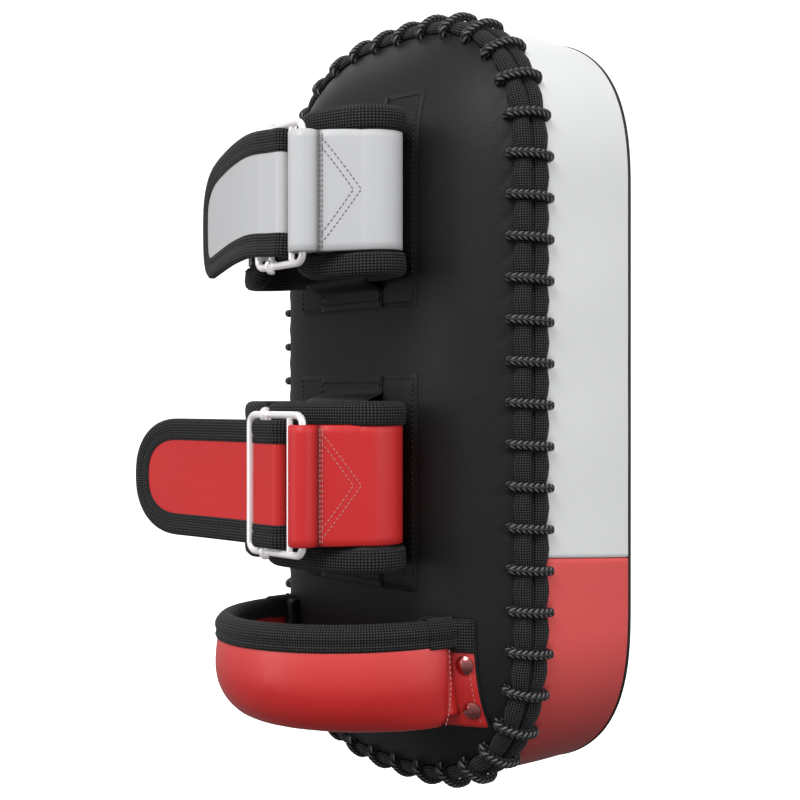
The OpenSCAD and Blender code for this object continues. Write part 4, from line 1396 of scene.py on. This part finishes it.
def make_rim_binding():
    """The thick ribbed binding over the guard's rim, with a sewn lower edge and a wrap at each end."""
    mid = GUARD_R - GUARD_LEAN - GUARD_T / 2
    half = GUARD_T / 2 + 0.7 * MM
    flange = np.array([(-0.2, -7.9), (0.7, -7.5), (0.7, -4.6), (0.1, -3.8), (1.0, -2.8), (1.2, 0.2)]) * MM
    crest = np.array([(0.85, 3.0), (0.4, 4.7), (0.0, 5.1), (-0.4, 4.7), (-0.85, 3.0)])
    lining_side = np.array([(-0.8, 0.2), (-0.5, -4.4), (0.4, -5.0)]) * MM
    section = np.vstack([
        flange + [mid + half, 0], crest * [half, MM] + [mid, 0], lining_side + [mid - half, 0]
    ])
    section = resample(smooth_path(section, 2), 40)
    angles = np.linspace(math.radians(4), math.radians(176), 260)
    obj = tube_object("guard_rim_roll", revolve_rim(section, angles))
    place(obj, "pad", "webbing", BINDING, "guard_rim_binding")
    wraps = []
    middle = np.array([mid, -1.5 * MM])
    grown = middle + (section - middle) * 1.12
    for start in (-2.0, 170.0):
        points = revolve_rim(grown, np.radians(np.linspace(start, start + 12, 18)))
        wraps.append(grid_object("wrap", points.transpose(1, 0, 2), closed=(True, False)))
    # Each end of the binding is folded flat over the top of the tab.
    for side in (-1, 1):
        x = np.linspace(56, 81, 20) * MM
        top = rim_z(side * GUARD_R) + 4.6 * MM
        gx, gz = np.meshgrid(x, np.linspace(top - 16 * MM, top, 18), indexing="ij")
        edge = np.minimum.reduce([x[-1] - gx, gz - top + 16 * MM, top - gz])
        upper = back_surface(side * gx, gz, 2.6 * MM + 2.4 * MM * edge_round(edge, 2.2 * MM))
        under = back_surface(side * gx, gz, 1.0 * MM)
        wraps.append(grid_object("end", np.concatenate([upper, under[::-1]]), closed=(True, False)))
    place(join("guard_end_wrap_tape", wraps), "pad", "webbing", BINDING, "guard_end_wraps")
    a = np.linspace(math.radians(12), math.radians(168), 300)
    line = revolve_rim(np.array([[mid + half + 0.75 * MM, -6.2 * MM]]), a)[:, 0]
    ups = np.stack([np.cos(a), np.sin(a), np.zeros(300)], 1)
    place(stitches("guard_rim_stitching", line, ups, 3.0 * MM), "pad", "webbing", BLACK_THREAD)


def make_tabs():
    """The flat leather ends of the guard, riveted to the back, with a pale seam beside the padding."""
    low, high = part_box("guard_tabs")
    outer_x = high.x - 1.8 * MM
    tabs, backings, seams = [], [], []
    for side in (-1, 1):
        top = min(high.z, rim_z(side * GUARD_R) + 2 * MM)
        z = np.linspace(low.z, top, 40)
        gx, gz = np.meshgrid(np.linspace(60 * MM, outer_x, 24), z, indexing="ij")
        edge = np.minimum.reduce([outer_x - gx, gz - low.z, top - gz])
        lift = 0.6 * MM + 1.7 * MM * edge_round(edge, 0.9 * MM)
        tabs.append(grid_object("tab", back_surface(side * gx, gz, lift)))
        # Leather from the tab up into the padded end, so that the band meets the back all the way down.
        web_z = np.linspace(low.z + 7 * MM, top, 30)
        root = back_surface(np.full(30, 70 * MM), web_z, 1.0 * MM)[:, 1:2]
        y = root + (GUARD_Y + 3 * MM - root) * np.array([0, 1, 1, 0])
        x = side * np.array([69, 69, 71, 71]) * MM
        tabs.append(tube_object("web", np.stack(np.broadcast_arrays(x, y, web_z[:, None]), -1)))
        gx, gz = np.meshgrid(np.linspace(outer_x - 8 * MM, outer_x + 0.9 * MM, 8), z, indexing="ij")
        backings.append(grid_object("backing", back_surface(side * gx, gz, 0.9 * MM)))
        seam_z = np.linspace(low.z + 3 * MM, top - 3 * MM, 60)
        line = back_surface(np.full(60, side * (outer_x - 1.6 * MM)), seam_z, 2.4 * MM)
        seams.append(stitches("seam", line, (side * 0.5, 1, 0), 2.6 * MM, radius=0.2 * MM))
    place(join("guard_tab_leather", tabs), "pad", "red_leather", GUARD_RED, "guard_tabs")
    place(join("guard_tab_backing", backings), "pad", "black_leather", PIPING)
    place(join("guard_tab_stitching", seams), "pad", "red_leather", PALE_THREAD)
    dress("guard_rivets", RIVET_RED_REFLECTION)
    dress("guard_rivet_washers", CHROME)


# ---------------------------------------------------------------- build

make_back_panel()
make_side_wall("side_wall_white_leather", "side_wall_white", "white_leather", WHITE, True)
make_side_wall("side_wall_red_leather", "side_wall_red", "red_leather", RED, False)
make_piping()
make_face()
make_tape("back_edge_tape_roll", "back_edge_tape", True)
make_tape("side_edge_tape_roll", "side_edge_tape", False)
make_lacing()
for which, leather, crease_shaded, leather_slot in (
    ("upper", GREY, GREY_CREASE_SHADED, "grey_leather"), ("middle", STRAP_RED, RED_CREASE_SHADED, "red_leather")
):
    make_patch(which)
    make_keeper(which)
    make_cuff(which)
    make_outer_strap(which, crease_shaded, leather_slot)
    make_threading_strap(which, leather, leather_slot)
    make_buckle(which)
    make_tongue(which, leather, leather_slot)
make_guard()
make_rim_binding()
make_tabs()
for node in ("striking_foam", "core_foam", "back_foam"):
    dress(node, FOAM)
